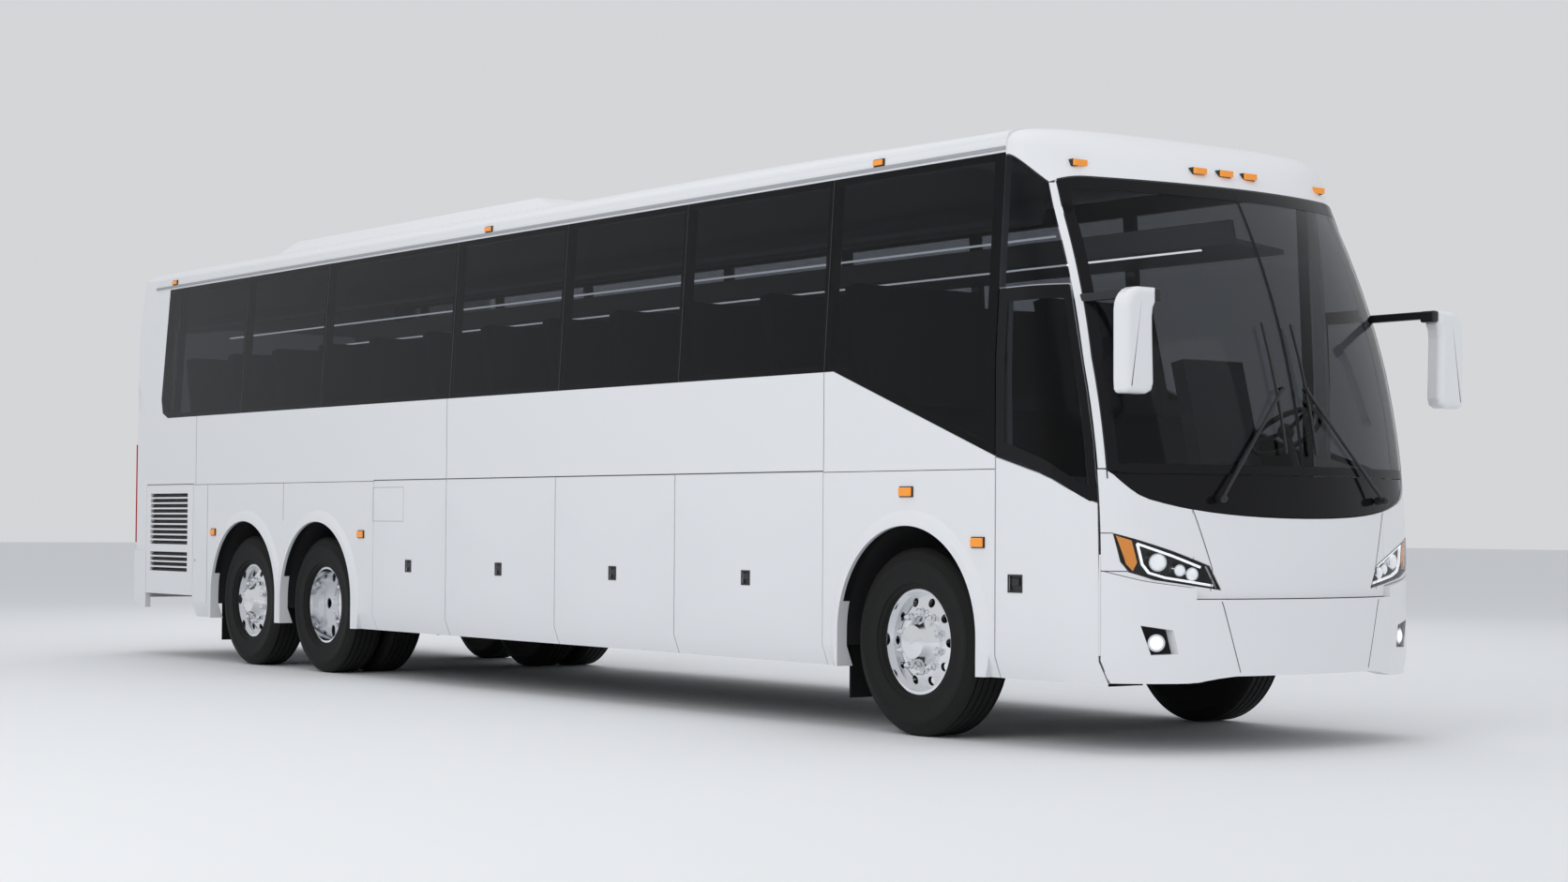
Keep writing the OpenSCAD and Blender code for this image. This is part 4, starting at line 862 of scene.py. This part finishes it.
class COACH_OT_door_trim(bpy.types.Operator):
    """Make the black border of the panes beside the windscreen and the door's latch"""

    bl_idname = "coach.door_trim"
    bl_label = "Door trim"

    def border(self, bm, top, front, rear, line, width):
        """A black border just proud of a pane, as four bands."""
        out, thick = -0.0012, 0.001
        inner = lambda z: front + width
        side_band(bm, lambda z: front, inner, lambda k: line(0), lambda k: top, 3, 12, out, thick)
        side_band(bm, lambda z: side_u(rear + width, z), lambda z: side_u(rear, z), lambda k: line(1), lambda k: top,
                  2, 12, out, thick)
        side_band(bm, inner, lambda z: side_u(rear + width, z), lambda k: top - width, lambda k: top, 8, 2, out, thick)
        side_band(bm, inner, lambda z: side_u(rear + width, z), lambda k: line(k), lambda k: line(k) + width,
                  8, 2, out, thick)

    def execute(self, context):
        low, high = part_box("entry_door_glass")
        rear, top = low[0] - 0.003, high[2] + 0.003
        front_x = front_point(DOOR_U, 1.5)[0]
        line = lambda k: slant_z(front_x) + (slant_z(rear) - slant_z(front_x)) * k + 0.003
        bm = bmesh.new()
        self.border(bm, top, DOOR_U + 0.003, rear, line, 0.075)
        mirrored(bm)
        bmesh.ops.recalc_face_normals(bm, faces=bm.faces)
        piece("door_border", bm, gloss_black(), "entry_door")
        bm = bmesh.new()
        self.border(bm, top, DOOR_U + 0.003, rear, line, 0.075)
        bmesh.ops.recalc_face_normals(bm, faces=bm.faces)
        piece("driver_border", bm, gloss_black())
        bm = latch_mesh(5.616, 0.886, 0.0545, 0.0445)
        mirrored(bm)
        piece("latch_entry", bm, black_trim(), "entry_door")
        return {"FINISHED"}


class COACH_OT_mirrors(bpy.types.Operator):
    """Make the mirrors on their arms"""

    bl_idname = "coach.mirrors"
    bl_label = "Mirrors"

    def shell(self):
        """Outline seen from the front, in (y, z), pulled back along the coach."""
        bm = bmesh.new()
        arcs = []
        for a in range(0, 91, 15):
            t = math.radians(a)
            arcs.append((1.222 + 0.112 * math.sin(t), 2.32 + 0.12 * math.cos(t)))
        outline = [(1.11, 2.44)] + arcs + [(1.333, 1.95)]
        outline += [(1.303 + 0.03 * math.cos(math.radians(a)), 1.92 - 0.035 * math.sin(math.radians(a)))
                    for a in (30, 60, 90)]
        outline += [(1.17, 1.885), (1.136, 1.90), (1.122, 1.94), (1.132, 2.28), (1.126, 2.33), (1.11, 2.36)]
        face = bm.faces.new([bm.verts.new((6.41, y, z)) for y, z in outline])
        grown = bmesh.ops.extrude_face_region(bm, geom=[face])["geom"]
        bmesh.ops.translate(bm, vec=(0.1, 0, 0), verts=[v for v in grown if isinstance(v, bmesh.types.BMVert)])
        bmesh.ops.recalc_face_normals(bm, faces=bm.faces)
        rims = [e for e in bm.edges if abs(e.verts[0].co.x - e.verts[1].co.x) < 1e-6]
        front = [e for e in rims if e.verts[0].co.x > 6.45]
        back = [e for e in rims if e.verts[0].co.x < 6.45]
        bmesh.ops.bevel(bm, geom=front, offset=0.038, segments=5, profile=0.5, affect="EDGES", material=-1)
        bmesh.ops.bevel(bm, geom=[e for e in back if e.is_valid], offset=0.008, segments=2, profile=0.5,
                        affect="EDGES", material=-1)
        return bm

    def execute(self, context):
        for side, g in SIDES:
            shell = self.shell()
            arm = bmesh.new()
            add_box(arm, (6.40, 6.50), (1.07, 1.12), (2.372, 2.437), 0.012)
            foot = front_point(PILLAR_U + 0.05, 2.42)
            add_box(arm, (foot.x - 0.05, 6.45), (foot.y - 0.01, 1.11), (2.395, 2.44), 0.01)
            glass = bmesh.new()
            add_box(glass, (6.4085, 6.4105), (1.15, 1.31), (1.92, 2.30), 0.0)
            for mesh in (shell, arm, glass):
                if g < 0:
                    mirrored(mesh)
            obj = piece("mirror_shell_" + side, shell, white_paint())
            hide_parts("mirrors")
            piece("mirror_arm_" + side, arm, black_trim())
            piece("mirror_glass_" + side, glass, material("Mirror glass", (0.9, 0.9, 0.9), 0.03, metal=1.0))
        return {"FINISHED"}


class COACH_OT_wheel_trim(bpy.types.Operator):
    """Make the nuts of the wheels"""

    bl_idname = "coach.wheel_trim"
    bl_label = "Wheel nuts and hubs"

    def execute(self, context):
        tyre_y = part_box("tyre_front_left")[1][1] - 0.15
        for side, g in SIDES:
            for axle, x, dish in (("front", FRONT_X, 0.07), ("drive", DRIVE_X, -0.09), ("tag", TAG_X, 0.07)):
                bm = bmesh.new()
                count = sizes().nuts
                face = tyre_y + dish + 0.011
                for i in range(count):
                    a = math.tau * (i + 0.5) / count
                    cx, cz = x + 0.17 * math.cos(a), HUB_Z + 0.17 * math.sin(a)
                    for r1, r2, depth, seg, start in ((0.024, 0.022, 0.008, 20, 0.0), (0.019, 0.019, 0.026, 6, 0.008),
                                                      (0.019, 0.008, 0.014, 18, 0.034)):
                        turn = Matrix.Translation((cx, face + start + depth / 2, cz)) @ Matrix.Rotation(-math.pi / 2, 4, "X")
                        bmesh.ops.create_cone(bm, cap_ends=True, segments=seg, radius1=r1, radius2=r2, depth=depth,
                                              matrix=turn)
                if g < 0:
                    mirrored(bm)
                piece("wheel_nuts_%s_%s" % (axle, side), bm, polished_alloy(), "wheel_%s_%s" % (axle, side))
        return {"FINISHED"}


class COACH_OT_grilles(bpy.types.Operator):
    """Make the dark screens behind the louvres"""

    bl_idname = "coach.grilles"
    bl_label = "Grille screens"

    def execute(self, context):
        slots = [1.418 - 0.046 * i for i in range(10)] + [0.905 - 0.046 * i for i in range(4)]
        for side, g in SIDES:
            bm = bmesh.new()
            for z in slots:
                add_box(bm, (GRILLE_LOW[0] + 0.08, GRILLE_HIGH[0] - 0.11), (HALF_W - 0.045, HALF_W - 0.041),
                        (z - 0.02, z + 0.02))
                made = add_box(bm, (GRILLE_LOW[0] + 0.091, GRILLE_HIGH[0] - 0.121), (HALF_W - 0.036, HALF_W - 0.012),
                               (z - 0.002, z + 0.002))
                bmesh.ops.rotate(bm, cent=(0, HALF_W - 0.024, z), matrix=Matrix.Rotation(math.radians(-35), 3, "X"),
                                 verts=made)
            if g < 0:
                mirrored(bm)
            piece("grille_screen_" + side, bm, black_trim(), "grille_door_" + side)
        low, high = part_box("engine_door")
        bm = bmesh.new()
        add_box(bm, (REAR_X + 0.041, REAR_X + 0.045), (low[1] + 0.15, high[1] - 0.15), (0.98, 1.44))
        piece("engine_screen", bm, black_trim(), "engine_door")
        return {"FINISHED"}


class COACH_OT_seams(bpy.types.Operator):
    """Make the gaskets between the panes and the seams between the panels"""

    bl_idname = "coach.seams"
    bl_label = "Seams and gaskets"

    def side_strip(self, bm, x, z_low, z_high, width, out):
        """An upright strip on the left side that follows its lean."""
        knots = [z_low] + [z for z in (CREASE_Z, SILL_Z) if z_low < z < z_high] + [z_high]
        for a, b in zip(knots, knots[1:]):
            made = add_box(bm, (x - width / 2, x + width / 2), (-0.0012, 0.0), (a, b))
            for v in made:
                v.co.y += side_y(v.co.z) + out

    def execute(self, context):
        w = sizes().seam
        panes = bmesh.new()
        seams = [BAY_X[1] + 0.03, BAY_X[2] + 0.03, BAY_X[3] + 0.03, DRIVE_X + 0.03, TAG_X - 0.115, REAR_X + 0.97]
        for x in seams:
            self.side_strip(panes, x, SILL_Z + 0.002, GLASS_TOP_Z - 0.003, 0.007, 0.0004)
        self.side_strip(panes, BAY_X[0], SILL_Z + 0.002, GLASS_TOP_Z - 0.003, 0.007, 0.0004)
        panels = bmesh.new()
        self.side_strip(panels, BAY_X[0], BELT_Z + 0.012, SILL_Z, w, 0.0004)
        self.side_strip(panels, BAY_X[3], BELT_Z + 0.012, SILL_Z, w, 0.0004)
        self.side_strip(panels, GRILLE_HIGH[0] + 0.05, BELT_Z, SILL_Z, w, 0.0004)
        self.side_strip(panels, (DRIVE_X + TAG_X) / 2 + 0.05, 1.2, BELT_Z, w, 0.0004)
        self.side_strip(panels, GRILLE_HIGH[0] + 0.3, 0.45, BELT_Z, w, 0.0004)
        for a, b in ((GRILLE_HIGH[0], BAY_X[4]), (BAY_X[0], CAP_X)):
            add_box(panels, (a, b), (HALF_W - 0.001, HALF_W + 0.0006), (BELT_Z - w / 2, BELT_Z + w / 2))
        low, high = WALL_LOW[0], CAP_X
        moulding = bmesh.new()
        add_box(moulding, (low, high), (side_y(3.274) + 0.003, side_y(3.274) + 0.0105), (3.264, 3.284), 0.002)
        for mesh, name, finish in ((panes, "pane_gaskets", black_trim()), (panels, "panel_seams", black_trim()),
                                   (moulding, "gutter_moulding", grey_trim())):
            both = mesh
            copy = bmesh.ops.duplicate(both, geom=both.verts[:] + both.edges[:] + both.faces[:])["geom"]
            bmesh.ops.scale(both, vec=(1, -1, 1), verts=[v for v in copy if isinstance(v, bmesh.types.BMVert)])
            bmesh.ops.recalc_face_normals(both, faces=both.faces)
            piece(name, both, finish)
        return {"FINISHED"}


class COACH_OT_latches(bpy.types.Operator):
    """Make the latches of the luggage doors"""

    bl_idname = "coach.latches"
    bl_label = "Latches"

    def execute(self, context):
        for side, g in SIDES:
            for i in range(4):
                bm = latch_mesh((BAY_X[i] + BAY_X[i + 1]) / 2, 0.868)
                if g < 0:
                    mirrored(bm)
                piece("latch_%s_%d" % (side, i + 1), bm, black_trim(), "bay_door_%s_%d" % (side, i + 1))
        return {"FINISHED"}


class COACH_OT_marker_lamps(bpy.types.Operator):
    """Make the amber lamps along the sides and the roof"""

    bl_idname = "coach.marker_lamps"
    bl_label = "Marker lamps"

    def execute(self, context):
        base, lens = bmesh.new(), bmesh.new()
        side = ((FRONT_X + 0.615, 1.105, 0.05), (FRONT_X - 0.01, 1.387, 0.055), (DRIVE_X + 0.745, 1.10, 0.045),
                (TAG_X - 0.62, 1.10, 0.04))
        for g in (-1, 1):
            for x, z, w in side:
                y0, y1, y2 = HALF_W, HALF_W + 0.006, HALF_W + 0.02
                add_box(base, (x - w - 0.006, x + w + 0.006), sorted((g * y0, g * y1)), (z - 0.031, z + 0.031), 0.002)
                add_box(lens, (x - w, x + w), sorted((g * y1, g * y2)), (z - 0.025, z + 0.025), 0.006)
            for x in (FRONT_X - 0.365, FRONT_X - 4.87, WALL_LOW[0] + 0.4):
                z, y = 3.308, side_y(3.295)
                add_box(base, (x - 0.05, x + 0.05), sorted((g * (y - 0.004), g * (y + 0.006))), (z - 0.022, z + 0.022), 0.002)
                add_box(lens, (x - 0.042, x + 0.042), sorted((g * (y + 0.005), g * (y + 0.02))), (z - 0.016, z + 0.016), 0.005)
        for y in (0.0, 0.2, -0.2, 0.95, -0.95):
            u = front_u(y, 3.18)
            p = front_point(u, 3.18)
            for bm, grow, out in ((base, 0.003, -0.008), (lens, 0.0, 0.012)):
                made = add_box(bm, (p.x - 0.035 - 0.02, p.x + 0.012 + out), (y - 0.045 - grow, y + 0.045 + grow),
                               (3.165 - grow, 3.2 + grow), 0.004)
        for bm, name, finish, slot in ((base, "marker_bases", black_trim(), "black_plastic"),
                                       (lens, "marker_lenses", amber_lens(), "lamp_amber")):
            bmesh.ops.recalc_face_normals(bm, faces=bm.faces)
            obj = piece(name, bm, finish)
            if name == "marker_lenses":
                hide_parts("marker_lamps")
        return {"FINISHED"}


class COACH_OT_stage(bpy.types.Operator):
    """Lay the pale floor, the lights and the camera"""

    bl_idname = "coach.stage"
    bl_label = "Stage"

    def floor(self):
        bm = bmesh.new()
        bmesh.ops.create_grid(bm, x_segments=1, y_segments=1, size=120.0)
        mesh = bpy.data.meshes.new("floor")
        bm.to_mesh(mesh)
        bm.free()
        floor = bpy.data.objects.new("floor", mesh)
        mesh.materials.append(material("Pale floor", (0.82, 0.83, 0.84), 0.75, grain=(1.5, 0.7, 0.82), bump=0.05))
        bpy.context.scene.collection.objects.link(floor)

    def light(self, name, place, aim, size, power):
        lamp = bpy.data.lights.new(name, "AREA")
        lamp.size = size
        lamp.energy = power
        obj = bpy.data.objects.new(name, lamp)
        obj.visible_glossy = False
        obj.location = place
        obj.rotation_euler = (Vector(aim) - Vector(place)).to_track_quat("-Z", "Y").to_euler()
        bpy.context.scene.collection.objects.link(obj)

    def camera(self):
        lens = bpy.data.cameras.new("camera")
        lens.sensor_width = 36.0
        lens.lens = sizes().lens_mm
        lens.clip_end = 300.0
        obj = bpy.data.objects.new("camera", lens)
        yaw, pitch, roll = math.radians(143.53), math.radians(1.82), math.radians(0.39)
        view = Vector((math.cos(yaw) * math.cos(pitch), math.sin(yaw) * math.cos(pitch), math.sin(pitch)))
        flat = Vector((math.sin(yaw), -math.cos(yaw), 0.0))
        upright = flat.cross(view)
        right = flat * math.cos(roll) + upright * math.sin(roll)
        up = upright * math.cos(roll) - flat * math.sin(roll)
        turn = Matrix((right, up, -view)).transposed().to_4x4()
        obj.matrix_world = Matrix.Translation((16.324, -10.766, 1.195)) @ turn
        bpy.context.scene.collection.objects.link(obj)
        bpy.context.scene.camera = obj

    def execute(self, context):
        scene = context.scene
        scene.view_settings.view_transform = "Standard"
        world = bpy.data.worlds.new("studio")
        scene.world = world
        world.use_nodes = True
        n, link = world.node_tree.nodes, world.node_tree.links
        sky = n["Background"]
        sky.inputs["Color"].default_value = (0.86, 0.88, 0.92, 1.0)
        sky.inputs["Strength"].default_value = 0.72
        pale = n.new("ShaderNodeBackground")
        pale.inputs["Color"].default_value = (0.66, 0.67, 0.685, 1.0)
        path, mix = n.new("ShaderNodeLightPath"), n.new("ShaderNodeMixShader")
        seen = path.outputs["Is Camera Ray"]
        for kind in ("Is Glossy Ray", "Is Transmission Ray"):
            both = n.new("ShaderNodeMath")
            both.operation = "MAXIMUM"
            link.new(seen, both.inputs[0])
            link.new(path.outputs[kind], both.inputs[1])
            seen = both.outputs[0]
        link.new(seen, mix.inputs["Fac"])
        link.new(sky.outputs["Background"], mix.inputs[1])
        link.new(pale.outputs["Background"], mix.inputs[2])
        link.new(mix.outputs["Shader"], n["World Output"].inputs["Surface"])
        self.floor()
        self.light("key", (8.0, -14.0, 9.0), (0.0, 0.0, 1.2), 9.0, 620.0)
        self.light("front", (20.0, 4.0, 7.0), (6.0, 0.0, 1.2), 7.0, 250.0)
        self.light("top", (0.0, 0.0, 14.0), (0.0, 0.0, 0.0), 16.0, 600.0)
        self.light("fill", (-12.0, 10.0, 7.0), (0.0, 0.0, 1.2), 8.0, 300.0)
        self.camera()
        return {"FINISHED"}


class COACH_PT_panel(bpy.types.Panel):
    """Sizes, colours and steps of the coach"""

    bl_idname = "COACH_PT_panel"
    bl_label = "Coach"
    bl_space_type = "VIEW_3D"
    bl_region_type = "UI"
    bl_category = "Coach"

    def draw(self, context):
        layout = self.layout
        for group in (context.scene.coach_sizes, context.scene.coach_colours):
            box = layout.box()
            for name in group.bl_rna.properties.keys():
                if name not in ("rna_type", "name"):
                    box.prop(group, name)
        for step in STEPS:
            layout.operator(step.bl_idname)


STEPS = (
    COACH_OT_finishes,
    COACH_OT_tyres,
    COACH_OT_screen_trim,
    COACH_OT_front_seams,
    COACH_OT_side_details,
    COACH_OT_headlamps,
    COACH_OT_fog_lamps,
    COACH_OT_seams,
    COACH_OT_latches,
    COACH_OT_door_trim,
    COACH_OT_mirrors,
    COACH_OT_wheel_trim,
    COACH_OT_grilles,
    COACH_OT_marker_lamps,
    COACH_OT_stage,
)
CLASSES = (CoachSizes, CoachColours, *STEPS, COACH_PT_panel)


def register():
    for item in CLASSES:
        bpy.utils.register_class(item)
    bpy.types.Scene.coach_sizes = PointerProperty(type=CoachSizes)
    bpy.types.Scene.coach_colours = PointerProperty(type=CoachColours)


def unregister():
    del bpy.types.Scene.coach_colours
    del bpy.types.Scene.coach_sizes
    for item in reversed(CLASSES):
        bpy.utils.unregister_class(item)


def main():
    register()
    for step in STEPS:
        name = step.bl_idname.split(".")[1]
        getattr(bpy.ops.coach, name)()


if __name__ == "__main__":
    main()
